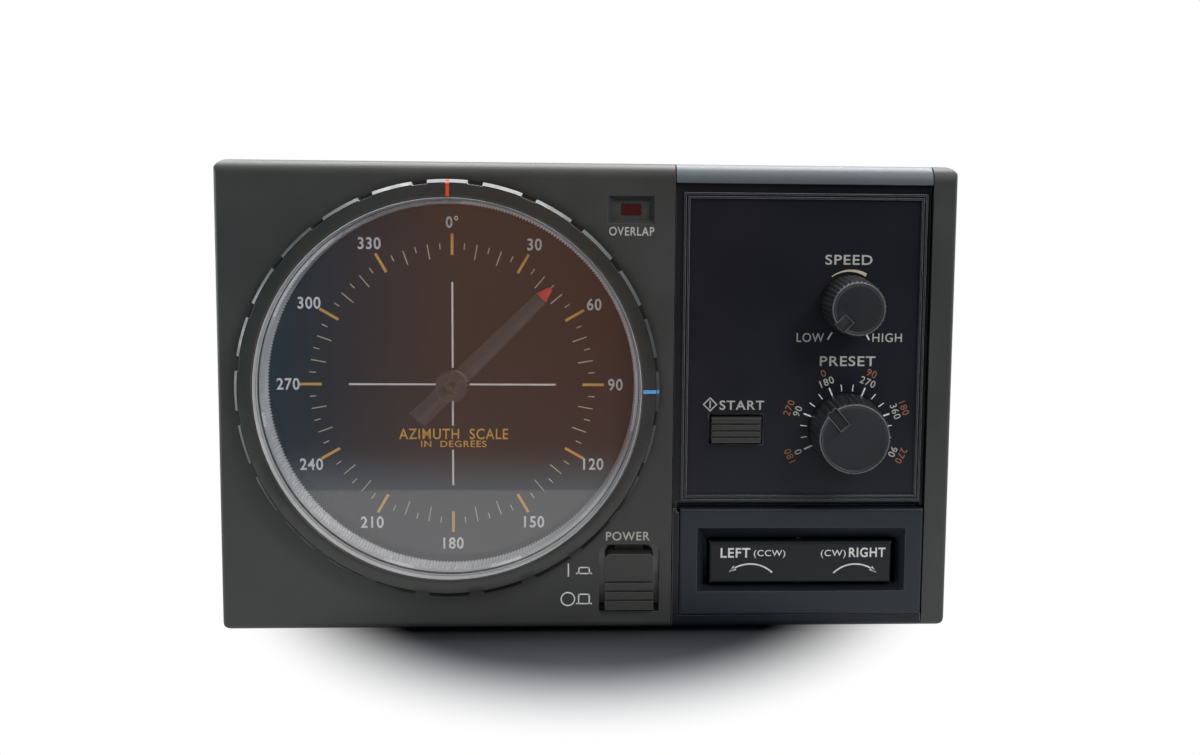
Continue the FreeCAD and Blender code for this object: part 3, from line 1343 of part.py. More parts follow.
def make_start_button():
    flange_start = f"({PANEL_INNER} + button_gap)"
    flange_end = f"({flange_start} + button_flange)"
    start_x = spread(START[0], "start_width")
    body = rounded(
        "StartSoft",
        box("StartBox", start_x, (FRONT, flange_end), spread(START[1], "start_height")),
        lambda middle, direction: number("button_edge") if middle.y < number(FRONT) + 0.1 else 0,
    )
    flange = box(
        "StartFlange",
        spread(START[0], "start_width + 4 * start_gap"),
        (flange_start, flange_end),
        spread(START[1], "start_height + 4 * start_gap"),
    )
    stem_y = (flange_start, f"{SWITCH_TIP} - start_travel - button_gap")
    stem = rod("StartStem", "y", START, stem_y, "switch_tip")
    top_groove = f"({START[1]} + start_height / 4)"
    grooves = across_grooves("Start", START[0], "start_width", top_groove, "start_height / 4", 3, FRONT)
    piece("start_button", cut("StartButton", join("StartSolid", body, flange, stem), *grooves))


POWER_Z = (up("power_base"), up("power_top"))
POWER_MIDDLE = (POWER_X, f"(({POWER_Z[0]}) + ({POWER_Z[1]})) / 2")
FRAME_BACK = front("(frame_place + sheet_wall)")


def make_power_button():
    face = front("-power_stand")

    def soften(middle, direction):
        if abs(direction.y) > 0.9 and middle.z > number(POWER_MIDDLE[1]):
            return number("power_round")
        return 0

    body = rounded(
        "PowerSoft",
        box("PowerBox", spread(POWER_X, "power_width"), (face, front("power_back")), POWER_Z),
        soften,
    )
    flange = box(
        "PowerFlange",
        spread(POWER_X, "power_flange"),
        (front("fascia_wall + button_gap"), front("fascia_wall + button_gap + button_flange")),
        (f"{POWER_Z[0]} - power_gap_base - button_flange", f"{POWER_Z[1]} + power_gap_top + button_flange"),
    )
    top_groove = f"({POWER_Z[1]} - power_rib_top)"
    grooves = across_grooves("Power", POWER_X, "power_width", top_groove, "power_rib_pitch", 3, face)
    piece("power_button", cut("PowerButton", join("PowerSolid", body, flange), *grooves))
    piece(
        "power_plunger",
        box(
            "PowerPlunger",
            spread(POWER_X, "plunger_width"),
            (front("power_back"), f"{FRAME_BACK} + plunger_seat"),
            spread(POWER_MIDDLE[1], "plunger_width"),
        ),
    )
    case = box(
        "PowerSwitchCase",
        spread(POWER_X, "power_switch_width"),
        (FRAME_BACK, f"{FRAME_BACK} + power_switch_length"),
        spread(POWER_MIDDLE[1], "power_switch_width"),
    )
    bore = box(
        "PowerSwitchBore",
        spread(POWER_X, "plunger_width + 2 * button_gap"),
        (f"{FRAME_BACK} - cut_margin", f"{FRAME_BACK} + plunger_seat + power_travel + button_gap"),
        spread(POWER_MIDDLE[1], "plunger_width + 2 * button_gap"),
    )
    tags = [
        box(
            f"PowerTag{index}",
            spread(f"({POWER_X} + {side} * power_tag_pitch / 2)", "lug_wall"),
            (f"{FRAME_BACK} + power_switch_length", f"{FRAME_BACK} + power_switch_length + lug_length"),
            spread(POWER_MIDDLE[1], "lug_width"),
        )
        for index, side in enumerate((-1, 1))
    ]
    piece("power_switch", cut("PowerSwitch", join("PowerSwitchSolid", case, *tags), bore))


COVER_SCREW_Y = (f"({SKIRT} + cover_screw_front)", f"({REAR} - cover_screw_rear)")
COVER_SCREW_Z = "(tray_lift + cover_screw_rise)"
REAR_SCREW_X = ("-rear_screw_pitch", "0", "rear_screw_pitch")
FOOT_X = ("(foot_inset - fascia_width / 2)", "(fascia_width / 2 - foot_inset)")
FOOT_Y = (f"({SKIRT} + foot_front)", f"({REAR} - foot_rear)")
CORE_FRAME_HALF = "(core_width / 2 + frame_wall)"
CORE_X = "(fascia_width / 2 - core_place_x)"
CORE_Y = behind("core_place_y")
CORE_SCREW_X = (
    f"({CORE_X} - {CORE_FRAME_HALF} - frame_foot / 2)",
    f"({CORE_X} + {CORE_FRAME_HALF} + frame_foot / 2)",
)
CORE_SCREW_Y = (f"({CORE_Y} - core_stack / 4)", f"({CORE_Y} + core_stack / 4)")
MAIN_LEFT = across("main_left")
MAIN_RIGHT = f"({CORE_X} - {CORE_FRAME_HALF} - main_gap)"
MAIN_FRONT = front("main_front")
MAIN_REAR = behind("main_rear")
WING_RIGHT = "(fascia_width / 2 - main_wing)"
WING_REAR = front("(main_front + main_wing_depth)")
RIBBON_X = "(fascia_width / 2 - ribbon_place)"
STANDOFFS = (
    (f"({MAIN_LEFT} + standoff_inset)", f"({MAIN_FRONT} + standoff_inset)"),
    (f"({MAIN_LEFT} + standoff_inset)", f"({MAIN_REAR} - standoff_inset)"),
    (f"({MAIN_RIGHT} - standoff_inset)", f"({MAIN_REAR} - standoff_inset)"),
    (f"({WING_RIGHT} - standoff_inset)", f"({MAIN_FRONT} + standoff_inset)"),
    (f"({WING_RIGHT} - standoff_inset)", f"({WING_REAR} - standoff_inset)"),
)


def make_front_frame():
    span = (front("frame_place"), FRAME_BACK)
    plate = box("FramePlate", (f"-{TRAY_HALF}", TRAY_HALF), span, ("tray_lift", COVER_TOP))
    depth = past(*span)
    tools = [
        rod("FrameDialHole", "y", DIAL, depth, "housing_radius + cut_margin"),
        box("FrameWindow", WINDOW_X, depth, WINDOW_Z),
        box("FramePowerHole", spread(POWER_X, "plunger_width + 2 * button_gap"), depth,
            spread(POWER_MIDDLE[1], "plunger_width + 2 * button_gap")),
    ]
    clear = "screw_radius + running_gap"
    tools += [rod(f"FrameScrewHole{i}", "y", at, depth, clear) for i, at in enumerate(frame_screw_places())]
    piece("front_frame", cut("Frame", plate, *tools))


def make_tray():
    wide = (f"-{TRAY_HALF}", TRAY_HALF)
    long = (FRAME_BACK, PANEL_BACK)
    flange_z = ("tray_lift", "tray_lift + tray_flange")
    floor = box("TrayFloor", wide, long, ("tray_lift", TRAY_FLOOR))
    left = box("TrayLeft", (wide[0], f"sheet_wall - {TRAY_HALF}"), long, flange_z)
    right = box("TrayRight", (f"{TRAY_HALF} - sheet_wall", TRAY_HALF), long, flange_z)
    back = box("TrayBack", wide, (f"{PANEL_BACK} - sheet_wall", PANEL_BACK), flange_z)
    solid = join("TraySolid", floor, left, right, back)
    sides = (f"-{HALF}", HALF)
    tools = [
        rod(f"TraySideHole{i}", "x", (y, COVER_SCREW_Z), sides, "screw_radius")
        for i, y in enumerate(COVER_SCREW_Y)
    ]
    rear_span = past(f"{PANEL_BACK} - sheet_wall", PANEL_BACK)
    tools += [
        rod(f"TrayRearHole{i}", "y", (x, COVER_SCREW_Z), rear_span, "screw_radius")
        for i, x in enumerate(REAR_SCREW_X)
    ]
    floor_span = past("tray_lift", TRAY_FLOOR)
    tools += [
        rod(f"TrayFootHole{i}{j}", "z", (x, y), floor_span, "foot_peg")
        for i, x in enumerate(FOOT_X)
        for j, y in enumerate(FOOT_Y)
    ]
    tools += [
        rod(f"TrayCoreHole{i}{j}", "z", (x, y), floor_span, "screw_radius")
        for i, x in enumerate(CORE_SCREW_X)
        for j, y in enumerate(CORE_SCREW_Y)
    ]
    piece("chassis_tray", cut("Tray", solid, *tools))


def make_cover():
    outer_half = f"({TRAY_HALF} + sheet_wall)"
    top = f"({COVER_TOP} + sheet_wall)"
    span = (f"{SKIRT} + cover_gap", REAR)

    def bend(radius):
        def radius_of(middle, direction):
            return radius if abs(direction.y) > 0.9 and middle.z > number(COVER_TOP) - 1 else 0

        return radius_of

    outer = rounded(
        "CoverOuter",
        box("CoverOuterBox", (f"-{outer_half}", outer_half), span, ("tray_lift", top)),
        bend(number("cover_bend + sheet_wall")),
    )
    inner = rounded(
        "CoverInner",
        box(
            "CoverInnerBox",
            (f"-{TRAY_HALF}", TRAY_HALF),
            (SKIRT, f"{REAR} + cut_margin"),
            ("tray_lift - cut_margin", COVER_TOP),
        ),
        bend(number("cover_bend")),
    )
    slots = []
    for index in range(count("vent_count")):
        x = f"(vent_pitch * ({index} - (vent_count - 1) / 2))"
        slot_y = (f"{REAR} - vent_back - vent_length", f"{REAR} - vent_back")
        slot_z = past(COVER_TOP, top)
        slots.append(box(f"Vent{index}", spread(x, "vent_width"), slot_y, slot_z))
    holes = [
        rod(f"CoverHole{i}", "x", (y, COVER_SCREW_Z), (f"-{HALF}", HALF), "screw_radius + running_gap")
        for i, y in enumerate(COVER_SCREW_Y)
    ]
    piece("top_cover", cut("Cover", outer, inner, *slots, *holes))
    screws = []
    for i, y in enumerate(COVER_SCREW_Y):
        screws.append(screw(f"CoverScrewLeft{i}", "x", (y, COVER_SCREW_Z), f"-{outer_half}", 1))
        screws.append(screw(f"CoverScrewRight{i}", "x", (y, COVER_SCREW_Z), outer_half, -1))
    piece("cover_screws", group("CoverScrews", screws))


SOCKET = ("socket_place_x", "socket_rise")
DIN = ("din_place_x", "socket_rise")
FUSE = ("-fuse_place_x", "fuse_rise")
GROMMET = ("-fuse_place_x", "grommet_rise")
TRIMMERS = (
    ("speed_trimmer", "SpeedTrimmer", ("-trimmer_place_x", "trimmer_rise")),
    ("scale_trimmer", "ScaleTrimmer", ("(-trimmer_place_x - trimmer_pitch)", "trimmer_rise")),
)


def make_rear_panel():
    sheet_y = (PANEL_BACK, REAR)
    sheet_box = rounded(
        "RearSheetSoft",
        box("RearSheet", (f"-{TRAY_HALF}", TRAY_HALF), sheet_y, ("tray_lift", COVER_TOP)),
        lambda middle, direction: number("cover_bend")
        if abs(direction.y) > 0.9 and middle.z > number(COVER_TOP) - 1
        else 0,
    )
    depth = past(PANEL_BACK, REAR)
    holes = [
        rod("RearSocketHole", "y", SOCKET, depth, "socket_radius"),
        rod("RearDinHole", "y", DIN, depth, "din_radius"),
        rod("RearFuseHole", "y", FUSE, depth, "fuse_radius"),
        rod("RearGrommetHole", "y", GROMMET, depth, "grommet_neck"),
    ]
    clear = "trimmer_radius + running_gap"
    holes += [rod(f"Rear{name}Hole", "y", at, depth, clear) for label, name, at in TRIMMERS]
    holes += [
        rod(f"RearScrewHole{i}", "y", (x, COVER_SCREW_Z), depth, "screw_radius + running_gap")
        for i, x in enumerate(REAR_SCREW_X)
    ]
    piece("rear_panel", cut("RearPanel", sheet_box, *holes))


def make_feet():
    feet = []
    narrow = "foot_radius - foot_taper"
    peg_z = ("tray_lift", "tray_lift + foot_peg_length")
    for i, x in enumerate(FOOT_X):
        for j, y in enumerate(FOOT_Y):
            pad = cone(f"FootPad{i}{j}", "z", (x, y), ("0", "tray_lift"), narrow, "foot_radius")
            peg = rod(f"FootPeg{i}{j}", "z", (x, y), peg_z, "foot_peg")
            feet.append(join(f"Foot{i}{j}", pad, peg))
    piece("rubber_feet", group("Feet", feet))


def make_chassis_screws():
    screws = [screw(f"FrameScrew{i}", "y", at, FRAME_BACK, -1) for i, at in enumerate(frame_screw_places())]
    housing_seat = front("fascia_wall + boss_height + flange_wall")
    screws += [screw(f"HousingScrew{i}", "y", at, housing_seat, -1) for i, at in enumerate(boss_places())]
    screws += [screw(f"PlateScrew{i}", "y", at, MOTOR_FACE, -1) for i, at in enumerate(pillar_places())]
    screws += [screw(f"BoardScrew{i}", "z", at, BOARD_TOP, -1) for i, at in enumerate(STANDOFFS)]
    screws += [
        screw(f"CoreScrew{i}{j}", "z", (x, y), f"({TRAY_FLOOR} + frame_wall)", -1)
        for i, x in enumerate(CORE_SCREW_X)
        for j, y in enumerate(CORE_SCREW_Y)
    ]
    screws += [screw(f"RearScrew{i}", "y", (x, COVER_SCREW_Z), REAR, -1) for i, x in enumerate(REAR_SCREW_X)]
    piece("chassis_screws", group("ChassisScrews", screws))


def make_transformer():
    x = CORE_X
    y = CORE_Y
    base = TRAY_FLOOR
    top = f"({base} + core_height)"
    stack = spread(y, "core_stack")
    block = box("CoreBlock", spread(x, "core_width"), stack, (base, top))
    window_z = (f"{base} + core_leg", f"{top} - core_leg")
    windows = [
        box(
            f"CoreWindow{side}",
            spread(f"({x} + {side} * (core_width / 2 - core_leg * 1.5))", "core_leg"),
            past(stack[0], stack[1]),
            window_z,
        )
        for side in (-1, 1)
    ]
    piece("transformer_core", cut("Core", block, *windows))
    coil_x = spread(x, "core_width - 2 * core_leg")
    coil = box("CoilBlock", coil_x, spread(y, "core_stack + 2 * coil_overhang"), window_z)
    leg = box("CoilLeg", spread(x, "core_width - 4 * core_leg"), stack, (base, top))
    piece("transformer_winding", cut("Coil", coil, leg))
    outer_x = (f"{x} - {CORE_FRAME_HALF}", f"{x} + {CORE_FRAME_HALF}")
    outer = box("FrameOuter", outer_x, stack, (base, f"{top} + frame_wall"))
    inner = box(
        "FrameInner",
        spread(x, "core_width"),
        past(stack[0], stack[1]),
        (f"{base} - cut_margin", top),
    )
    foot = box(
        "FrameFeet",
        (f"{x} - {CORE_FRAME_HALF} - frame_foot", f"{x} + {CORE_FRAME_HALF} + frame_foot"),
        stack,
        (base, f"{base} + frame_wall"),
    )
    hole_z = past(base, f"{base} + frame_wall")
    holes = [
        rod(f"FrameHole{i}{j}", "z", (hole_x, hole_y), hole_z, "screw_radius + running_gap")
        for i, hole_x in enumerate(CORE_SCREW_X)
        for j, hole_y in enumerate(CORE_SCREW_Y)
    ]
    piece("transformer_frame", cut("CoreFrame", join("CoreFrameSolid", outer, foot), inner, *holes))


def make_main_board():
    z = (f"({TRAY_FLOOR} + standoff_height)", BOARD_TOP)
    main = box("BoardMain", (MAIN_LEFT, MAIN_RIGHT), (MAIN_FRONT, MAIN_REAR), z)
    wing = box("BoardWing", (MAIN_LEFT, WING_RIGHT), (MAIN_FRONT, WING_REAR), z)
    hole_span = past(z[0], z[1])
    holes = [
        rod(f"BoardHole{i}", "z", at, hole_span, "screw_radius + running_gap")
        for i, at in enumerate(STANDOFFS)
    ]
    piece("main_board", cut("MainBoard", join("BoardSolid", main, wing), *holes))
    standoffs = []
    for i, at in enumerate(STANDOFFS):
        post = rod(f"StandoffPost{i}", "z", at, (TRAY_FLOOR, z[0]), "standoff_radius")
        thread = rod(f"StandoffThread{i}", "z", at, past(TRAY_FLOOR, z[0]), "screw_radius")
        standoffs.append(cut(f"Standoff{i}", post, thread))
    piece("board_standoffs", group("Standoffs", standoffs))
    cans = [
        rod(
            f"Capacitor{i}",
            "z",
            (f"({MAIN_LEFT} + capacitor_place + {i} * capacitor_pitch)", f"({MAIN_REAR} - capacitor_back)"),
            (BOARD_TOP, f"{BOARD_TOP} + capacitor_height"),
            "capacitor_radius",
        )
        for i in (0, 1)
    ]
    piece("smoothing_capacitors", group("Capacitors", cans))


def make_heat_sink():
    left = across("sink_left")
    z = ("sink_lift", "sink_lift + sink_height")
    base_y = (f"{PANEL_BACK} - sink_depth", f"{PANEL_BACK} - sink_depth + sink_base")
    base = box("SinkBase", (left, f"{left} + sink_width"), base_y, z)
    fins = []
    for index in range(count("fin_count")):
        start = f"({left} + {index} * (sink_width - fin_wall) / (fin_count - 1))"
        fins.append(box(f"Fin{index}", (start, f"{start} + fin_wall"), (base_y[1], PANEL_BACK), z))
    piece("heat_sink", join("Sink", base, *fins))
    packs = [
        box(
            f"Transistor{index}",
            spread(f"({left} + sink_width / 2 + {side} * transistor_pitch / 2)", "transistor_width"),
            (f"{base_y[0]} - transistor_wall", base_y[0]),
            spread("(sink_lift + sink_height / 2)", "transistor_height"),
        )
        for index, side in enumerate((-1, 1))
    ]
    piece("power_transistors", group("Transistors", packs))


def make_ribbon():
    x = spread(RIBBON_X, "ribbon_width")
    level = f"({BOARD_TOP} + ribbon_rise)"
    board_back = front("(board_place + board_wall)")
    drop_y = f"({WING_REAR} - standoff_inset - ribbon_bend)"
    riser = box("RibbonRiser", x, (drop_y, f"{drop_y} + ribbon_wall"), (BOARD_TOP, f"{level} - ribbon_bend"))
    run = box("RibbonRun", x, (board_back, f"{drop_y} - ribbon_bend"), (level, f"{level} + ribbon_wall"))
    bend = []
    for name, radius, side in (
        ("RibbonBendOuter", "ribbon_bend + ribbon_wall", 0),
        ("RibbonBendInner", "ribbon_bend", 1),
    ):
        disc = doc.addObject("Part::Cylinder", name)
        disc.setExpression("Radius", on_sheet(radius))
        disc.setExpression("Height", on_sheet(f"ribbon_width + 2 * {side} * cut_margin"))
        disc.Angle = 90
        disc.Placement = Placement(Vector(), FACING["x"].multiply(Rotation(Vector(0, 0, 1), 90)))
        place(disc, f"{x[0]} - {side} * cut_margin", f"{drop_y} - ribbon_bend", f"{level} - ribbon_bend")
        bend.append(disc)
    corner = cut("RibbonCorner", *bend)
    plug_wide = spread(RIBBON_X, "ribbon_width + 2 * plug_margin")
    front_plug = box("RibbonFrontPlug", plug_wide, (board_back, f"{board_back} + plug_length"),
                     (f"{level} - plug_margin", f"{level} + ribbon_wall + plug_margin"))
    plug_y = (f"{drop_y} - plug_margin", f"{drop_y} + ribbon_wall + plug_margin")
    rear_plug = box("RibbonRearPlug", plug_wide, plug_y, (BOARD_TOP, f"{BOARD_TOP} + plug_length"))
    piece("ribbon_cable", join("Ribbon", riser, corner, run, front_plug, rear_plug))


def make_rotator_socket():
    plate = box("SocketPlate", spread(SOCKET[0], "socket_plate"), (REAR, f"{REAR} + socket_plate_wall"),
                spread(SOCKET[1], "socket_plate"))
    shell = rod("SocketShell", "y", SOCKET, (behind("socket_inner"), f"{REAR} + rear_reach"), "socket_radius")
    mouth = rod("SocketMouth", "y", SOCKET, (behind("socket_floor"), f"{REAR} + rear_reach + cut_margin"),
                "socket_radius - socket_wall")
    offsets = [("0", "0")]
    for index in range(count("contact_count")):
        angle = f"360 * {index} / contact_count"
        offsets.append((f"contact_circle * sin({angle})", f"contact_circle * cos({angle})"))
    bores = []
    contacts = []
    for index, (dx, dz) in enumerate(offsets):
        at = (f"({SOCKET[0]} + {dx})", f"({SOCKET[1]} + {dz})")
        depth = (behind("socket_floor + contact_root"), behind("socket_floor - contact_length"))
        bores.append(rod(f"ContactBore{index}", "y", at, depth, "contact_radius"))
        contacts.append(rod(f"Contact{index}", "y", at, depth, "contact_radius"))
    piece("rotator_socket", cut("RotatorSocket", join("SocketSolid", plate, shell), mouth, *bores))
    piece("socket_pins", group("Contacts", contacts))


def make_control_socket():
    case = box("DinCase", spread(DIN[0], "din_width"), (f"{PANEL_BACK} - din_length", PANEL_BACK),
               spread(DIN[1], "din_width"))
    neck = rod("DinNeck", "y", DIN, (PANEL_BACK, f"{REAR} + din_stand"), "din_radius")
    mouth = rod("DinMouth", "y", DIN, (behind("din_mouth"), f"{REAR} + din_stand + cut_margin"), "din_hole")
    core = rod("DinCore", "y", DIN, (behind("din_mouth"), behind("din_core_set")), "din_core")
    piece("control_socket", join("ControlSocket", cut("DinShell", join("DinSolid", case, neck), mouth), core))


def make_fuse_holder():
    collar_end = f"{REAR} + fuse_collar_wall"
    body = rod("FuseBody", "y", FUSE, (behind("fuse_length"), collar_end), "fuse_radius")
    collar = rod("FuseCollar", "y", FUSE, (REAR, collar_end), "fuse_collar")
    bore_y = (behind("fuse_length - fuse_end"), f"{collar_end} + cut_margin")
    bore = rod("FuseBore", "y", FUSE, bore_y, "fuse_bore")
    tag_y = (behind("fuse_length + lug_length"), behind("fuse_length"))
    tag = box("FuseTag", spread(FUSE[0], "lug_wall"), tag_y, spread(FUSE[1], "lug_width"))
    piece("fuse_holder", cut("FuseHolder", join("FuseSolid", body, collar, tag), bore))
    head = rod("FuseCapHead", "y", FUSE, (collar_end, f"{collar_end} + fuse_cap_height"), "fuse_cap_radius")
    stem = rod("FuseCapStem", "y", FUSE, (f"{collar_end} - fuse_stem_length", collar_end),
               "fuse_bore - running_gap")
    cap_end = f"{collar_end} + fuse_cap_height"
    slot = box("FuseCapSlot", spread(FUSE[0], "2 * (fuse_cap_radius + cut_margin)"),
               (f"{cap_end} - 2 * slot_depth", f"{cap_end} + cut_margin"), spread(FUSE[1], "2 * slot_width"))
    piece("fuse_cap", cut("FuseCap", join("FuseCapSolid", head, stem), slot))


def make_grommet():
    outer = rod("GrommetOuter", "y", GROMMET, (REAR, f"{REAR} + grommet_wall"), "grommet_radius")
    inner = rod("GrommetInner", "y", GROMMET, (f"{PANEL_BACK} - grommet_wall", PANEL_BACK), "grommet_radius")
    neck = rod("GrommetNeck", "y", GROMMET, (PANEL_BACK, REAR), "grommet_neck")
    bore_y = past(f"{PANEL_BACK} - grommet_wall", f"{REAR} + grommet_wall")
    bore = rod("GrommetBore", "y", GROMMET, bore_y, "grommet_bore")
    piece("cord_grommet", cut("Grommet", join("GrommetSolid", outer, inner, neck), bore))


def make_trimmers():
    bodies = []
    for label, name, at in TRIMMERS:
        screw_y = (f"{PANEL_BACK} - trimmer_body_wall / 2", f"{REAR} + trimmer_stand")
        disc = rod(name + "Disc", "y", at, screw_y, "trimmer_radius")
        slot = box(name + "Slot", spread(at[0], "2 * (trimmer_radius + cut_margin)"),
                   (f"{screw_y[1]} - slot_depth", f"{screw_y[1]} + cut_margin"), spread(at[1], "slot_width"))
        piece(label, cut(name, disc, slot))
        case_y = (f"{PANEL_BACK} - trimmer_body_wall", PANEL_BACK)
        case = box(name + "Case", spread(at[0], "trimmer_body"), case_y, spread(at[1], "trimmer_body"))
        bore_y = (screw_y[0], f"{PANEL_BACK} + cut_margin")
        bore = rod(name + "Bore", "y", at, bore_y, "trimmer_radius + running_gap")
        bodies.append(cut(name + "Body", case, bore))
    piece("trimmer_bodies", group("TrimmerBodies", bodies))


def finish():
    """Check every object, then write each sub-part to its own file."""
    doc.recompute()
    for obj in doc.Objects:
        if "Invalid" in obj.State or "Error" in obj.State:
            raise RuntimeError(f"{obj.Name} did not compute")
    os.makedirs("parts", exist_ok=True)
    for obj in pieces:
        shape = obj.Shape
        if shape.isNull() or not shape.isValid():
            raise RuntimeError(f"{obj.Label} has no valid shape")
        shape.exportStep(f"parts/{obj.Label}.step")
        print(f"{obj.Label}: {len(shape.Solids)} solids, {shape.Volume:.1f} mm3")
    print(f"{len(pieces)} files")


block = front_block()
make_front_fascia(block)
make_control_panel(block)
make_switch_bezel()
make_direction_rocker()
make_direction_ring()
make_dial_plates()
make_serrated_ring()
make_dial_housing()
make_pointer()
make_indicator_gears()
make_gear_plate()
make_motor_and_sensor()
make_dial_lamps()
make_overlap_indicator()
make_knobs_and_pots()
make_front_board()
make_start_button()
make_power_button()
make_front_frame()
make_tray()
make_cover()
make_rear_panel()
make_feet()
make_chassis_screws()
make_transformer()
make_main_board()
make_heat_sink()
make_ribbon()
make_rotator_socket()
make_control_socket()
make_fuse_holder()
make_grommet()
make_trimmers()
finish()
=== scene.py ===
"""Finishes, print, dial and knob details, light and camera for the antenna rotator controller."""

import json
import math

import bmesh
import bpy
from mathutils import Matrix, Vector


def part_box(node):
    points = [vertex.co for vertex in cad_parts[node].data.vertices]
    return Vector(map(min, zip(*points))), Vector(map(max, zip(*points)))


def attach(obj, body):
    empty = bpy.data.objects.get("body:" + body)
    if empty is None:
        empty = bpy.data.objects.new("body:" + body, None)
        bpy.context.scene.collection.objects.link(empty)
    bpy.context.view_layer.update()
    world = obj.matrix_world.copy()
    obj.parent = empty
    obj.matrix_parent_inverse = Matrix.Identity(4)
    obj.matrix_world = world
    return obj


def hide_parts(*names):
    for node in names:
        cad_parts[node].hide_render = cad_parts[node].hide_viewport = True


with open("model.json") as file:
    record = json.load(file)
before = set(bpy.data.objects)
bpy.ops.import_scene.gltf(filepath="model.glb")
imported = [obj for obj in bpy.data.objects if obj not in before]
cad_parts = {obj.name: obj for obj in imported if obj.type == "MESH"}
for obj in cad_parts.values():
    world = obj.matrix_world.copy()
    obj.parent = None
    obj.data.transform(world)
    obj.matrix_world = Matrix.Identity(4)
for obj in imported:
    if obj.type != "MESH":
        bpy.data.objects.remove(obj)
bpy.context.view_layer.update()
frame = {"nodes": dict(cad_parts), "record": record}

# Sizes and places are in millimetres, and MM makes them metres. FACE is the fascia's front along Y,
# and the pairs give the middle of the dial and of each knob along X and Z.
MM = 0.001
FACE = -84.5
PANEL = FACE + 2.0
ROCKER_FACE = FACE + 0.6
SCALE_FACE = FACE + 6.8
RING_FACE = FACE - 4.7
DIAL = (-37.8, 68.8)
SPEED = (71.2, 92.4)
PRESET = (71.2, 57.1)
LOBES = 24
RING_RADIUS = 56.7
POINTER_BACK = FACE + 3.75
RIDGE = 0.9
INK = 0.03
FORWARD = (math.pi / 2, 0, 0)


# Small helpers for working in edit mode


def nothing_selected():
    if bpy.context.object and bpy.context.object.mode != "OBJECT":
        bpy.ops.object.mode_set(mode="OBJECT")
    bpy.ops.object.select_all(action="DESELECT")


def named(name):
    bpy.context.object.name = name
    bpy.context.object.data.name = name
    return bpy.context.object


def work_on(obj):
    nothing_selected()
    bpy.context.view_layer.objects.active = obj
    obj.select_set(True)


def edit(obj):
    work_on(obj)
    bpy.ops.object.mode_set(mode="EDIT")
    bpy.context.tool_settings.mesh_select_mode = (True, False, False)


def done_editing():
    bpy.ops.object.mode_set(mode="OBJECT")


def pick_points(obj, test):
    """In edit mode, selects the points whose place, in millimetres, passes a test."""
    mesh = bmesh.from_edit_mesh(obj.data)
    for point in mesh.verts:
        point.select_set(bool(test(point.co / MM)))
    mesh.select_flush_mode()
    bmesh.update_edit_mesh(obj.data)


def polar(point, centre):
    """Distance from a centre, and angle clockwise from straight up, in the plane of the fascia."""
    x, z = point.x - centre[0], point.z - centre[1]
    return math.hypot(x, z), math.degrees(math.atan2(x, z))


def drawn_in(centre, ratio, y=0):
    """In edit mode, brings the picked points nearer to a centre in the plane of the fascia."""
    middle = (centre[0] * MM, y * MM, centre[1] * MM)
    bpy.ops.transform.resize(value=(ratio, 1, ratio), center_override=middle)


def extent(obj):
    """The lowest and highest X and Z of a piece, in metres."""
    points = [point.co for point in obj.data.vertices]
    low = [min(point[axis] for point in points) for axis in (0, 2)]
    high = [max(point[axis] for point in points) for axis in (0, 2)]
    return low, high


def outward(obj):
    edit(obj)
    bpy.ops.mesh.select_all(action="SELECT")
    bpy.ops.mesh.remove_doubles(threshold=0.000001)
    bpy.ops.mesh.normals_make_consistent(inside=False)
    done_editing()


def settle(obj):
    """Puts the object's place, turn and size into its mesh."""
    work_on(obj)
    bpy.ops.object.transform_apply(location=True, rotation=True, scale=True)


def softened(obj, width, steps=2, angle=30):
    """Rounds every edge sharper than an angle."""
    work_on(obj)
    bevel = obj.modifiers.new("Soft", "BEVEL")
    bevel.width = width * MM
    bevel.segments = steps
    bevel.limit_method = "ANGLE"
    bevel.angle_limit = math.radians(angle)
    bevel.harden_normals = False
    bpy.ops.object.modifier_apply(modifier=bevel.name)


def smooth(obj, angle=35):
    work_on(obj)
    bpy.ops.object.shade_smooth_by_angle(angle=math.radians(angle))


def joined(name, parts):
    nothing_selected()
    for part in parts:
        part.select_set(True)
    bpy.context.view_layer.objects.active = parts[0]
    bpy.ops.object.join()
    return named(name)


def carved(obj, tool):
    """Takes a tool's shape out of a piece."""
    work_on(obj)
    knife = obj.modifiers.new("Carve", "BOOLEAN")
    knife.operation = "DIFFERENCE"
    knife.object = tool
    knife.solver = "EXACT"
    bpy.ops.object.modifier_apply(modifier=knife.name)
    bpy.data.objects.remove(tool)


def fitted(obj, body, material):
    """Gives a finished piece its material and the body that it moves with."""
    obj.data.materials.clear()
    obj.data.materials.append(material)
    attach(obj, body)
    return obj


def block(name, x, y, z):
    """A block between two places along each axis, in millimetres."""
    nothing_selected()
    middle = [(low + high) / 2 * MM for low, high in (x, y, z)]
    bpy.ops.mesh.primitive_cube_add(size=1, location=middle)
    obj = named(name)
    obj.scale = [abs(high - low) * MM for low, high in (x, y, z)]
    settle(obj)
    return obj


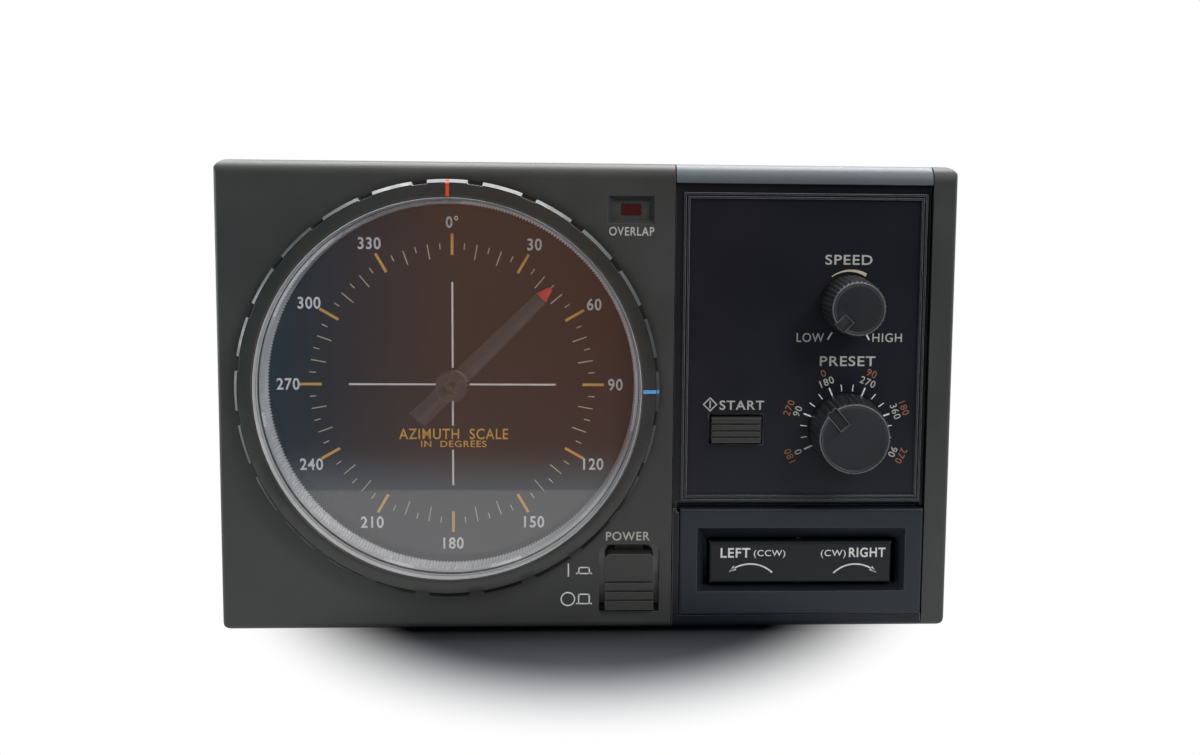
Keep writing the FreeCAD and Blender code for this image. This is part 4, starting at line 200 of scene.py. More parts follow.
def turned(name, centre, profile, segments, closed=False):
    """A form turned round the Y axis; its profile gives radius and place, in millimetres."""
    nothing_selected()
    x, z = centre
    radius, y = profile[0]
    bpy.ops.mesh.primitive_circle_add(
        vertices=segments, radius=radius * MM, location=(x * MM, y * MM, z * MM), rotation=FORWARD
    )
    obj = named(name)
    settle(obj)
    edit(obj)
    bpy.ops.mesh.select_all(action="SELECT")
    if not closed:
        bpy.ops.mesh.edge_face_add()
    for next_radius, next_y in profile[1:]:
        bpy.ops.mesh.extrude_edges_indiv()
        bpy.ops.transform.translate(value=(0, (next_y - y) * MM, 0))
        drawn_in(centre, next_radius / radius, next_y)
        radius, y = next_radius, next_y
    if closed:
        bpy.ops.mesh.select_all(action="DESELECT")
        bpy.ops.mesh.select_non_manifold()
        bpy.ops.mesh.bridge_edge_loops()
    else:
        bpy.ops.mesh.edge_face_add()
    done_editing()
    outward(obj)
    return obj


def spokes(name, centre, copies, obj):
    """Repeats a piece round a centre, in the plane of the fascia."""
    edit(obj)
    bpy.ops.mesh.select_all(action="SELECT")
    bpy.ops.mesh.spin(
        steps=copies - 1,
        dupli=True,
        angle=2 * math.pi * (copies - 1) / copies,
        center=(centre[0] * MM, 0, centre[1] * MM),
        axis=(0, 1, 0),
    )
    done_editing()
    obj.name = name
    return obj


def swung(obj, centre, degrees):
    """Turns a piece clockwise, seen from the front, about a centre."""
    middle = Vector((centre[0] * MM, 0, centre[1] * MM))
    turn = Matrix.Rotation(math.radians(degrees), 4, "Y")
    obj.matrix_world = Matrix.Translation(middle) @ turn @ Matrix.Translation(-middle) @ obj.matrix_world
    settle(obj)
    return obj


# Materials


# Pale grey for plastic edges, a painted highlight with some rubbing wear; and the share of milky white on
# clear edges, a painted glint.
RUBBED_HIGHLIGHT_GREY = (0.3, 0.31, 0.32, 1)
EDGE_GLINT_HAZE = (0.34, 0.34, 0.34, 1)


def new_material(name):
    """A new material with its node tree and its shader."""
    material = bpy.data.materials.new(name)
    material.use_nodes = True
    tree = material.node_tree
    shader = tree.nodes["Principled BSDF"]
    return material, tree, shader


def feed(tree, source, socket):
    """Links a source to a socket, or sets the socket to a plain value."""
    if isinstance(source, bpy.types.NodeSocket):
        tree.links.new(source, socket)
    else:
        socket.default_value = source


def combined(tree, operation, first, second):
    """Two values put through one sum."""
    node = tree.nodes.new("ShaderNodeMath")
    node.operation = operation
    feed(tree, first, node.inputs[0])
    feed(tree, second, node.inputs[1])
    return node.outputs["Value"]


def way_along(tree, value, start, end, top=1.0, eased=False):
    """How far a value has come from a start to an end, as a share of the top."""
    node = tree.nodes.new("ShaderNodeMapRange")
    if eased:
        node.interpolation_type = "SMOOTHSTEP"
    node.inputs["From Min"].default_value = start
    node.inputs["From Max"].default_value = end
    node.inputs["To Max"].default_value = top
    tree.links.new(value, node.inputs["Value"])
    return node.outputs["Result"]


def mixed_colour(tree, share, first, second):
    """The first colour where the share is nought, and the second where it is one."""
    node = tree.nodes.new("ShaderNodeMix")
    node.data_type = "RGBA"
    feed(tree, share, node.inputs["Factor"])
    feed(tree, first, node.inputs["A"])
    feed(tree, second, node.inputs["B"])
    return node.outputs["Result"]


def mixed_shader(tree, share, first, second):
    """The first finish where the share is nought, and the second where it is one."""
    node = tree.nodes.new("ShaderNodeMixShader")
    feed(tree, share, node.inputs["Fac"])
    tree.links.new(first, node.inputs[1])
    tree.links.new(second, node.inputs[2])
    return node.outputs["Shader"]


def object_coordinates(tree):
    return tree.nodes.new("ShaderNodeTexCoord").outputs["Object"]


def object_place(tree):
    """The X, Y and Z of the surface in the piece's own coordinates."""
    split = tree.nodes.new("ShaderNodeSeparateXYZ")
    tree.links.new(object_coordinates(tree), split.inputs["Vector"])
    return split.outputs


def seen_directly(tree):
    """One for the camera, for gloss and through clear plastic, and nought for the light on the object."""
    path = tree.nodes.new("ShaderNodeLightPath")
    plain = combined(tree, "MAXIMUM", path.outputs["Is Camera Ray"], path.outputs["Is Glossy Ray"])
    return combined(tree, "MAXIMUM", plain, path.outputs["Is Transmission Ray"])


def object_noise(tree, scale, detail=3.0, stretch=(1, 1, 1)):
    """Noise on the piece's own coordinates; scale is in patches to the metre."""
    mapping = tree.nodes.new("ShaderNodeMapping")
    mapping.inputs["Scale"].default_value = stretch
    noise = tree.nodes.new("ShaderNodeTexNoise")
    noise.inputs["Scale"].default_value = scale
    noise.inputs["Detail"].default_value = detail
    tree.links.new(object_coordinates(tree), mapping.inputs["Vector"])
    tree.links.new(mapping.outputs["Vector"], noise.inputs["Vector"])
    return noise


def ramp_between(tree, source, low, high, start=0.35, end=0.65):
    """Two values or colours, mixed by a source."""
    ramp = tree.nodes.new("ShaderNodeValToRGB")
    ramp.color_ramp.elements[0].position = start
    ramp.color_ramp.elements[1].position = end
    ramp.color_ramp.elements[0].color = low
    ramp.color_ramp.elements[1].color = high
    tree.links.new(source, ramp.inputs["Fac"])
    return ramp.outputs["Color"]


def bumped(tree, shader, height, distance, edge=0.0):
    """Fine relief, and moulded or filed edges of a given radius, both in millimetres."""
    bump = tree.nodes.new("ShaderNodeBump")
    bump.inputs["Distance"].default_value = distance * MM
    tree.links.new(height, bump.inputs["Height"])
    tree.links.new(bump.outputs["Normal"], shader.inputs["Normal"])
    if edge:
        soft = tree.nodes.new("ShaderNodeBevel")
        soft.samples = 6
        soft.inputs["Radius"].default_value = edge * MM
        tree.links.new(soft.outputs["Normal"], bump.inputs["Normal"])


def shade(colour, factor):
    """A colour made darker or lighter by a factor."""
    return [min(1.0, channel * factor) for channel in colour] + [1.0]


def worn_edges(tree, colour, edge, lift, rubbed):
    """A colour made paler along its edges: a painted highlight where the edges catch the light, which on
    plastic also stands for rubbing wear.
    """
    soft = tree.nodes.new("ShaderNodeBevel")
    soft.samples = 8
    soft.inputs["Radius"].default_value = edge * MM
    surface = tree.nodes.new("ShaderNodeNewGeometry")
    across = tree.nodes.new("ShaderNodeVectorMath")
    across.operation = "DOT_PRODUCT"
    tree.links.new(soft.outputs["Normal"], across.inputs[0])
    tree.links.new(surface.outputs["Normal"], across.inputs[1])
    share = way_along(tree, across.outputs["Value"], 0.99, 0.88, lift)
    return mixed_colour(tree, share, colour, rubbed)


def dusty_corners(tree, colour, reach):
    """Painted shade: a colour darkened in narrow gaps and corners, where shade falls."""
    corner = tree.nodes.new("ShaderNodeAmbientOcclusion")
    corner.samples = 8
    corner.inputs["Distance"].default_value = reach * MM
    feed(tree, colour, corner.inputs["Color"])
    return corner.outputs["Color"]


def around_value(value, less, more):
    """Two greys a little under and over a value, for a ramp."""
    return [value - less] * 3 + [1], [value + more] * 3 + [1]


def grained_plastic(name, colour, roughness=0.5, grain=2600, depth=0.02, mottle=0.1, specular=0.5,
                    edge=0.0, lift=0.0, reach=0.0):
    """Moulded plastic with a spark-eroded grain and slight unevenness, a painted highlight on its edges with
    some rubbing wear, and painted shade in its corners.
    """
    material, tree, shader = new_material(name)
    fine = object_noise(tree, grain, 2.0)
    broad = object_noise(tree, 45, 4.0)
    shader.inputs["Specular IOR Level"].default_value = specular
    dull, bright = shade(colour, 1 - mottle), shade(colour, 1 + mottle)
    colour_out = ramp_between(tree, broad.outputs["Fac"], dull, bright)
    # Painted highlight along the edges.
    if lift:
        colour_out = worn_edges(tree, colour_out, edge, lift, RUBBED_HIGHLIGHT_GREY)
    # Painted shade in gaps and corners.
    if reach:
        colour_out = dusty_corners(tree, colour_out, reach)
    tree.links.new(colour_out, shader.inputs["Base Color"])
    low, high = around_value(roughness, 0.03, 0.03)
    tree.links.new(ramp_between(tree, broad.outputs["Fac"], low, high), shader.inputs["Roughness"])
    bumped(tree, shader, fine.outputs["Fac"], depth, edge)
    return material


def plated_metal(name, colour, roughness=0.32, stretch=(1, 1, 30), grain=220, depth=0.008):
    """Rolled or turned metal with fine lines along one direction."""
    material, tree, shader = new_material(name)
    lines = object_noise(tree, grain, 4.0, stretch)
    broad = object_noise(tree, 30, 3.0)
    shader.inputs["Metallic"].default_value = 1.0
    colour_out = ramp_between(tree, broad.outputs["Fac"], shade(colour, 0.88), shade(colour, 1.08))
    tree.links.new(colour_out, shader.inputs["Base Color"])
    low, high = around_value(roughness, 0.08, 0.1)
    tree.links.new(ramp_between(tree, lines.outputs["Fac"], low, high), shader.inputs["Roughness"])
    bumped(tree, shader, lines.outputs["Fac"], depth)
    return material


def textured_paint(name, colour, roughness=0.48):
    """Sprayed paint on sheet steel, with a fine orange-peel texture."""
    material, tree, shader = new_material(name)
    peel = object_noise(tree, 1500, 2.0)
    broad = object_noise(tree, 25, 3.0)
    colour_out = ramp_between(tree, broad.outputs["Fac"], shade(colour, 0.92), shade(colour, 1.08))
    tree.links.new(colour_out, shader.inputs["Base Color"])
    low, high = around_value(roughness, 0.1, 0.1)
    tree.links.new(ramp_between(tree, peel.outputs["Fac"], low, high), shader.inputs["Roughness"])
    bumped(tree, shader, peel.outputs["Fac"], 0.05)
    return material


def clear_plastic(name, colour, roughness=0.03, scratches=0.004, transmission=1.0):
    """Tinted plastic that light goes through, with fine upright scratches."""
    material, tree, shader = new_material(name)
    shader.inputs["Transmission Weight"].default_value = transmission
    shader.inputs["IOR"].default_value = 1.49
    fine = object_noise(tree, 160, 5.0, (1, 1, 8))
    shader.inputs["Base Color"].default_value = colour + [1.0]
    low, high = around_value(roughness, 0, 0.04)
    tree.links.new(ramp_between(tree, fine.outputs["Fac"], low, high, 0.5, 0.8), shader.inputs["Roughness"])
    bumped(tree, shader, fine.outputs["Fac"], scratches)
    return material


def window_pane(name, tint, ior, haze=0.0, edge=0.0):
    """Clear moulded plastic: light goes straight through, the surface reflects, and the edges are painted
    milky pale as a painted glint; haze is an even milkiness of the plastic.
    """
    material, tree, shader = new_material(name)
    tree.nodes.remove(shader)
    clear = tree.nodes.new("ShaderNodeBsdfTransparent")
    clear.inputs["Color"].default_value = tint
    body = tree.nodes.new("ShaderNodeBsdfDiffuse")
    body.inputs["Color"].default_value = (0.62, 0.6, 0.6, 1)
    milk = haze
    # Painted glint: milky pale along the edges, where clear plastic catches the light.
    if edge:
        milk = worn_edges(tree, (haze, haze, haze, 1), edge, 1.0, EDGE_GLINT_HAZE)
    cloudy = mixed_shader(tree, milk, clear.outputs["BSDF"], body.outputs["BSDF"])
    gloss = tree.nodes.new("ShaderNodeBsdfGlossy")
    gloss.inputs["Roughness"].default_value = 0.03
    ripple = tree.nodes.new("ShaderNodeBump")
    ripple.inputs["Distance"].default_value = 0.0006 * MM
    tree.links.new(object_noise(tree, 60, 3.0).outputs["Fac"], ripple.inputs["Height"])
    tree.links.new(ripple.outputs["Normal"], gloss.inputs["Normal"])
    fresnel = tree.nodes.new("ShaderNodeFresnel")
    fresnel.inputs["IOR"].default_value = ior
    surface = tree.nodes.new("ShaderNodeNewGeometry")
    outer_side = combined(tree, "SUBTRACT", 1.0, surface.outputs["Backfacing"])
    share = combined(tree, "MULTIPLY", fresnel.outputs["Fac"], outer_side)
    pane = mixed_shader(tree, share, cloudy, gloss.outputs["BSDF"])
    tree.links.new(pane, tree.nodes["Material Output"].inputs["Surface"])
    return material


def printed_ink(name, colour, roughness=0.55):
    """Screen-printed ink, a little uneven where it is thin."""
    material, tree, shader = new_material(name)
    speckle = object_noise(tree, 1800, 3.0)
    thin, full = shade(colour, 0.86), shade(colour, 1.0)
    colour_out = ramp_between(tree, speckle.outputs["Fac"], thin, full, 0.3, 0.55)
    tree.links.new(colour_out, shader.inputs["Base Color"])
    shader.inputs["Roughness"].default_value = roughness
    return material


def striped(name, colour, other, scale, roughness=0.5, metallic=0.0, direction="Y", depth=0.06):
    """Fine even stripes, as on stacked sheets, windings and flat cables."""
    material, tree, shader = new_material(name)
    wave = tree.nodes.new("ShaderNodeTexWave")
    wave.bands_direction = direction
    wave.inputs["Scale"].default_value = scale
    wave.inputs["Distortion"].default_value = 0.4
    tree.links.new(object_coordinates(tree), wave.inputs["Vector"])
    colour_out = ramp_between(tree, wave.outputs["Fac"], colour + [1.0], other + [1.0], 0.3, 0.7)
    tree.links.new(colour_out, shader.inputs["Base Color"])
    shader.inputs["Roughness"].default_value = roughness
    shader.inputs["Metallic"].default_value = metallic
    bumped(tree, shader, wave.outputs["Fac"], depth)
    return material


def coated_board(name):
    """A green circuit board with copper runs showing under its lacquer."""
    material, tree, shader = new_material(name)
    runs = tree.nodes.new("ShaderNodeTexBrick")
    runs.inputs["Scale"].default_value = 90
    runs.inputs["Mortar Size"].default_value = 0.06
    runs.inputs["Color1"].default_value = (0.012, 0.09, 0.03, 1)
    runs.inputs["Color2"].default_value = (0.016, 0.11, 0.04, 1)
    runs.inputs["Mortar"].default_value = (0.04, 0.2, 0.06, 1)
    tree.links.new(object_coordinates(tree), runs.inputs["Vector"])
    tree.links.new(runs.outputs["Color"], shader.inputs["Base Color"])
    shader.inputs["Roughness"].default_value = 0.3
    bumped(tree, shader, runs.outputs["Fac"], 0.03)
    return material


WHITE_INK = printed_ink("white_print", [0.86, 0.86, 0.84])
PALE_INK = printed_ink("pale_print", [0.52, 0.52, 0.47])
CREAM_INK = printed_ink("cream_print", [0.62, 0.56, 0.4])
AMBER_INK = printed_ink("amber_print", [0.85, 0.45, 0.08])
ORANGE_INK = printed_ink("orange_print", [0.31, 0.13, 0.055])
RED_INK = printed_ink("red_mark", [0.85, 0.06, 0.02])
BLUE_INK = printed_ink("blue_mark", [0.12, 0.42, 0.85])


def paler_cap(material):
    """Painted highlight: the panel's cap is paler than the rest, lightest at its top and fading down to the
    line under it, as if lit from above.
    """
    tree = material.node_tree
    shader = tree.nodes["Principled BSDF"]
    colour = shader.inputs["Base Color"].links[0].from_socket
    height = object_place(tree)["Z"]
    lower_edge = 0.125
    share = way_along(tree, height, lower_edge, 0.131)
    grey = ramp_between(tree, share, (0.1, 0.12, 0.135, 1), (0.2, 0.225, 0.24, 1), 0.0, 1.0)
    above = combined(tree, "GREATER_THAN", height, lower_edge + 0.00005)
    tree.links.new(mixed_colour(tree, above, colour, grey), shader.inputs["Base Color"])


# In these finishes, reach is the width of painted corner shade, and lift with edge sets a painted edge
# highlight.
FINISHES = {
    "case_plastic": grained_plastic(
        "case_plastic", [0.04, 0.043, 0.041], 0.42, 2600, 0.015, edge=0.15, lift=0.35, reach=2.5),
    "panel_plastic": grained_plastic(
        "panel_plastic", [0.009, 0.0105, 0.016], 0.32, 2200, 0.01, 0.04, 0.3, edge=0.3, lift=0.8, reach=1.5),
    "bezel_plastic": grained_plastic(
        "bezel_plastic", [0.016, 0.0215, 0.03], 0.36, 2400, 0.01, 0.1, 0.35, edge=0.3, lift=0.3, reach=2.5),
    "rocker_plastic": grained_plastic(
        "rocker_plastic", [0.008, 0.0095, 0.013], 0.34, 2400, 0.006, 0.1, 0.3, edge=0.25, lift=0.5, reach=2),
    "ring_plastic": grained_plastic(
        "ring_plastic", [0.034, 0.037, 0.034], 0.26, 2400, 0.003, edge=0.2, lift=0.4, reach=2.5),
    "knob_plastic": grained_plastic(
        "knob_plastic", [0.022, 0.025, 0.028], 0.3, 2400, 0.004, 0.1, 0.4, edge=0.3, lift=0.8, reach=1.5),
    "button_plastic": grained_plastic(
        "button_plastic", [0.034, 0.036, 0.033], 0.36, 2400, 0.008, edge=0.2, lift=0.45, reach=1.5),
    "window_clear": window_pane("window_clear", (0.97, 0.97, 0.98, 1), 2.2),
    "scale_black": grained_plastic("scale_black", [0.007, 0.008, 0.014], 0.22, 300, 0.0, 0.1),
    "serrated_metal": grained_plastic("serrated_metal", [0.93, 0.94, 0.95], 0.25, 1400, 0.002),
    "inner_plastic": grained_plastic("inner_plastic", [0.68, 0.69, 0.69], 0.3, 1400, 0.004, reach=1.0),
    "pointer_clear": window_pane("pointer_clear", (0.97, 0.96, 0.96, 1), 1.35, 0.04, 0.22),
    "gear_plastic": grained_plastic("gear_plastic", [0.6, 0.57, 0.5], 0.4, 1200, 0.01),
    "zinc_sheet": plated_metal("zinc_sheet", [0.52, 0.53, 0.54], 0.4, (1, 1, 9), 240, 0.004),
    "bright_steel": plated_metal("bright_steel", [0.66, 0.66, 0.67], 0.25, (1, 12, 1)),
    "brass_part": plated_metal("brass_part", [0.72, 0.52, 0.22], 0.25, (1, 12, 1)),
    "pot_case": grained_plastic("pot_case", [0.06, 0.045, 0.035], 0.45),
    "lamp_glass": clear_plastic("lamp_glass", [0.95, 0.93, 0.85], 0.02),
    "lens_red": clear_plastic("lens_red", [0.075, 0.004, 0.008], 0.12, 0.02, 0.35),
    "lamp_red": clear_plastic("lamp_red", [0.5, 0.02, 0.02], 0.1, 0.01, 0.5),
    "switch_plastic": grained_plastic("switch_plastic", [0.03, 0.03, 0.03], 0.5),
    "cover_paint": textured_paint("cover_paint", [0.04, 0.041, 0.039]),
    "black_screw": plated_metal("black_screw", [0.06, 0.06, 0.062], 0.4, (1, 1, 1), 400),
    "foot_rubber": grained_plastic("foot_rubber", [0.014, 0.014, 0.015], 0.75, 1600, 0.03, 0.2, 0.3),
    "core_iron": striped("core_iron", [0.1, 0.1, 0.11], [0.2, 0.2, 0.21], 260, 0.45, 0.8, "Y"),
    "winding_copper": striped("winding_copper", [0.6, 0.42, 0.1], [0.45, 0.28, 0.06], 300, 0.35, 0.0, "Z"),
    "board_green": coated_board("board_green"),
    "capacitor_sleeve": grained_plastic("capacitor_sleeve", [0.02, 0.05, 0.22], 0.25, 700, 0.006),
    "sink_aluminium": plated_metal("sink_aluminium", [0.05, 0.05, 0.055], 0.42, (1, 1, 20)),
    "chip_black": grained_plastic("chip_black", [0.02, 0.02, 0.02], 0.5),
    "ribbon_grey": striped("ribbon_grey", [0.42, 0.42, 0.42], [0.3, 0.3, 0.3], 190, 0.5, 0.0, "X", 0.2),
    "socket_black": grained_plastic("socket_black", [0.02, 0.02, 0.021], 0.35, 1400, 0.01),
    "trimmer_white": grained_plastic("trimmer_white", [0.7, 0.7, 0.66], 0.4, 1400, 0.01),
    "trimmer_blue": grained_plastic("trimmer_blue", [0.02, 0.08, 0.3], 0.4, 1400, 0.01),
    # Pale metal strips on the ring's bevels, a painted highlight.
    "ring_edge_highlight": plated_metal("ring_edge_highlight", [0.14, 0.145, 0.145], 0.42, (1, 1, 1), 300, 0.004),
    "knob_rim_highlight": plated_metal("knob_rim_highlight", [0.24, 0.25, 0.26], 0.4, (1, 1, 1), 300, 0.004),
    "shaft_dark": plated_metal("shaft_dark", [0.12, 0.11, 0.1], 0.45, (1, 12, 1)),
    "tip_red": grained_plastic("tip_red", [0.75, 0.06, 0.035], 0.35, 1200, 0.004),
}


def dress_cad_nodes():
    """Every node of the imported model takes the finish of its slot; the shaft's end is dull."""
    for part in frame["record"]["subparts"]:
        node = frame["nodes"][part["node"]]
        node.data.materials.clear()
        node.data.materials.append(FINISHES[part["material_slot"]])
    frame["nodes"]["pointer_shaft"].data.materials[0] = FINISHES["shaft_dark"]
    # The panel's cap gets a painted highlight.
    paler_cap(FINISHES["panel_plastic"])


# Print on the fascia, the panel, the rocker and the dial


def lettering(name, words, x, z, y, ink, body, weight=0.0):
    """Printed words that fill a span of the face, in millimetres."""
    text = raised_words(name, words, y, weight)
    low, high = extent(text)
    wide = (x[1] - x[0]) * MM / (high[0] - low[0])
    tall = (z[1] - z[0]) * MM / (high[1] - low[1])
    text.scale = (wide, 1, tall)
    text.location = (x[0] * MM - low[0] * wide, 0, z[0] * MM - low[1] * tall)
    settle(text)
    return fitted(text, body, ink)


def raised_words(name, words, y, weight, spacing=1.12):
    """Thin raised words in a plain typeface, standing up and facing the front, at no set size."""
    nothing_selected()
    bpy.ops.object.text_add(location=(0, 0, 0), rotation=(0, 0, 0))
    text = bpy.context.object
    text.data.body = words
    text.data.size = 1.0
    text.data.space_character = spacing
    text.data.align_x = "CENTER"
    text.data.align_y = "CENTER"
    text.data.offset = weight
    text.data.extrude = INK * MM / 2
    bpy.ops.object.convert(target="MESH")
    text = named(name)
    text.rotation_euler = FORWARD
    text.location = (0, (y - INK / 2) * MM, 0)
    settle(text)
    return text


def printed_number(name, words, centre, height, y, ink, turn=0.0, weight=0.0, squeeze=1.0):
    """A printed number on the case, of a given height about its centre, turned clockwise if asked."""
    text = raised_words(name, words, y, weight)
    low, high = extent(text)
    size = height * MM / (high[1] - low[1])
    text.scale = (size * squeeze, 1, size)
    text.location = (-(low[0] + high[0]) / 2 * size * squeeze, 0, -(low[1] + high[1]) / 2 * size)
    settle(text)
    swung(text, (0, 0), turn)
    text.location = (centre[0] * MM, 0, centre[1] * MM)
    settle(text)
    return fitted(text, "case", ink)


def around(centre, radius, degrees):
    """The place at a radius and an angle clockwise from straight up."""
    angle = math.radians(degrees)
    return centre[0] + radius * math.sin(angle), centre[1] + radius * math.cos(angle)


def radial_bar(name, centre, inner, outer, width, degrees, y):
    """A printed line along a radius."""
    x, z = centre
    bar = block(name, (x - width / 2, x + width / 2), (y - INK, y), (z + inner, z + outer))
    return swung(bar, centre, degrees)


def dial_ticks():
    """A broad line every 30 degrees, with fine ones every 5 between them."""
    broad = radial_bar("major_ticks", DIAL, 35.8, 41.7, 0.75, 0, SCALE_FACE)
    fitted(spokes("major_ticks", DIAL, 12, broad), "case", AMBER_INK)
    outer, width = 39.2, 0.28
    longer = [radial_bar("tick", DIAL, 35.1, outer, width, degrees, SCALE_FACE) for degrees in (10, 20)]
    shorter = [radial_bar("tick", DIAL, 37.5, outer, width, degrees, SCALE_FACE) for degrees in (5, 15, 25)]
    minor = spokes("minor_ticks", DIAL, 12, joined("minor_ticks", longer + shorter))
    fitted(minor, "case", CREAM_INK)


def dial_numbers():
    for degrees in range(0, 360, 30):
        words = "0°" if degrees == 0 else str(degrees)
        centre = around(DIAL, 44.9, degrees)
        printed_number(f"dial_number_{degrees}", words, centre, 3.3, SCALE_FACE, WHITE_INK,
                       weight=0.018, squeeze=0.88)


def dial_cross():
    """The white cross over the scale, its lower arm broken by the words."""
    x, z = DIAL
    reach = 28.4
    gap = 4.6
    half = 0.25
    y = (SCALE_FACE - INK, SCALE_FACE)
    words_top = 57.2
    words_base = 50.4
    arms = [
        block("arm", (x - half, x + half), y, (z + gap, z + reach)),
        block("arm", (x - half, x + half), y, (words_top, z - gap)),
        block("arm", (x - half, x + half), y, (z - reach, words_base)),
        block("arm", (x + gap, x + reach), y, (z - half, z + half)),
        block("arm", (x - reach, x - gap), y, (z - half, z + half)),
    ]
    fitted(joined("dial_cross", arms), "case", WHITE_INK)
    lettering("dial_words", "AZIMUTH  SCALE", (-52.6, -22.6), (53.4, 56.4), SCALE_FACE, AMBER_INK, "case",
              0.008)
    lettering("dial_unit", "IN  DEGREES", (-46.6, -28.6), (51.2, 53.0), SCALE_FACE, AMBER_INK, "case",
              0.008)


def thin_bar(x, z, y):
    """A printed rectangle."""
    return block("bar", x, (y - INK, y), z)


def print_circle(centre, radius, width, y):
    """A printed circle line."""
    profile = [(radius + width / 2, y), (radius + width / 2, y - INK), (radius - width / 2, y - INK),
               (radius - width / 2, y)]
    return turned("circle", centre, profile, 64, closed=True)


def button_symbol(left, right, base, top, y, line=0.35):
    """The printed side view of a push button: a low or high box on a base line."""
    inset = 0.6
    return [
        thin_bar((left, right), (base, base + line), y),
        thin_bar((left + inset, left + inset + line), (base, top), y),
        thin_bar((left + inset, right - inset), (top - line, top), y),
        thin_bar((right - inset - line, right - inset), (base, top), y),
    ]


def power_print():
    """The words over the lens and the power button, and the on and off symbols beside the button."""
    bars = [thin_bar((-5.78, -5.42), (16.2, 20.0), FACE)]
    bars += button_symbol(-3.5, 0.96, 16.95, 19.0, FACE)
    bars += button_symbol(-3.5, 0.96, 8.4, 11.4, FACE)
    bars.append(print_circle((-5.69, 9.87), 1.85, 0.36, FACE))
    fitted(joined("power_symbols", bars), "case", WHITE_INK)
    for name, words, x, z in (
        ("power_word", "POWER", (4.7, 16.85), (26.4, 28.9)),
        ("overlap_word", "OVERLAP", (5.0, 17.2), (110.7, 113.1)),
    ):
        lettering(name, words, x, z, FACE, PALE_INK, "case", 0.015)


def start_symbol():
    """The printed diamond with an upright line beside the start button's word."""
    centre = (33.18, 64.2)
    x, z = centre
    line = 0.34
    outer = 2.05 / math.sqrt(2)
    inner = outer - line
    bars = [
        thin_bar((x - outer, x + outer), (z + inner, z + outer), PANEL),
        thin_bar((x - outer, x + outer), (z - outer, z - inner), PANEL),
        thin_bar((x - outer, x - inner), (z - inner, z + inner), PANEL),
        thin_bar((x + inner, x + outer), (z - inner, z + inner), PANEL),
    ]
    diamond = swung(joined("start_symbol", bars), centre, 45)
    upright = thin_bar((x - line / 2, x + line / 2), (z - 1.05, z + 1.05), PANEL)
    fitted(joined("start_symbol", [diamond, upright]), "case", PALE_INK)


def arc_band(name, centre, radius, start, end, width, y, steps=24):
    """A printed band that follows part of a circle."""
    bar = radial_bar(name, centre, radius - width / 2, radius + width / 2, 0.05, start, y)
    edit(bar)
    bpy.ops.mesh.select_all(action="SELECT")
    x, z = around(centre, radius, start)
    ahead = around((0, 0), 1, start + 90)
    pick_points(bar, lambda point: (point.x - x) * ahead[0] + (point.z - z) * ahead[1] > 0)
    bpy.ops.mesh.delete(type="VERT")
    bpy.ops.mesh.select_all(action="SELECT")
    bpy.ops.mesh.edge_face_add()
    bpy.ops.mesh.spin(
        steps=steps,
        angle=math.radians(end - start),
        center=(centre[0] * MM, 0, centre[1] * MM),
        axis=(0, -1, 0),
    )
    done_editing()
    outward(bar)
    return bar


def bearing(place, centre):
    """The angle of a place about a centre, clockwise from straight up."""
    return math.degrees(math.atan2(place[0] - centre[0], place[1] - centre[1]))


def arc_through(left, top, right):
    """Centre and radius of the circle through three points of the face."""
    (ax, az), (bx, bz), (cx, cz) = left, top, right
    d = 2 * (ax * (bz - cz) + bx * (cz - az) + cx * (az - bz))
    a2, b2, c2 = ax * ax + az * az, bx * bx + bz * bz, cx * cx + cz * cz
    x = (a2 * (bz - cz) + b2 * (cz - az) + c2 * (az - bz)) / d
    z = (a2 * (cx - bx) + b2 * (ax - cx) + c2 * (bx - ax)) / d
    return (x, z), math.hypot(ax - x, az - z)


def arrow_head(name, tip, length, half_width, degrees, y):
    """A printed triangle that points clockwise from straight up by an angle."""
    nothing_selected()
    bpy.ops.mesh.primitive_cylinder_add(
        vertices=3, radius=1, depth=1, location=(0, (y - INK / 2) * MM, 0), rotation=FORWARD
    )
    head = named(name)
    settle(head)
    points = [point.co for point in head.data.vertices]
    top = max(point.z for point in points)
    base = min(point.z for point in points)
    wide = max(point.x for point in points)
    head.scale = (half_width * MM / wide, INK * MM, length * MM / (top - base))
    head.location = (0, (y - INK / 2) * MM * (1 - INK * MM), -top * head.scale[2])
    settle(head)
    swung(head, (0, 0), degrees)
    head.location = (tip[0] * MM, 0, tip[1] * MM)
    settle(head)
    return head


def rocker_print():
    """An arrow and two words on each half of the rocker."""
    for side, tip, top, tail in (
        ("left", (38.95, 17.16), (44.93, 19.43), (51.15, 16.96)),
        ("right", (80.5, 16.82), (74.5, 19.3), (68.34, 16.74)),
    ):
        centre, radius = arc_through(tip, top, tail)
        start, end = bearing(tip, centre), bearing(tail, centre)
        inward = 1 if side == "left" else -1
        band = arc_band("arc", centre, radius, start + inward * 4, end, 0.42, ROCKER_FACE)
        head = arrow_head("head", tip, 2.1, 0.72, start - inward * 84, ROCKER_FACE)
        arrow = joined(f"{side}_arrow", [band, head])
        fitted(arrow, "rocker", WHITE_INK)
    for name, words, x, z, weight in (
        ("left_word", "LEFT", (36.6, 44.9), (21.25, 24.0), 0.02),
        ("left_turn", "(CCW)", (45.9, 54.7), (21.1, 23.4), 0.005),
        ("right_turn", "(CW)", (64.7, 71.7), (21.0, 23.4), 0.005),
        ("right_word", "RIGHT", (72.6, 82.9), (21.25, 24.0), 0.02),
    ):
        lettering(name, words, x, z, ROCKER_FACE, WHITE_INK, "rocker", weight)


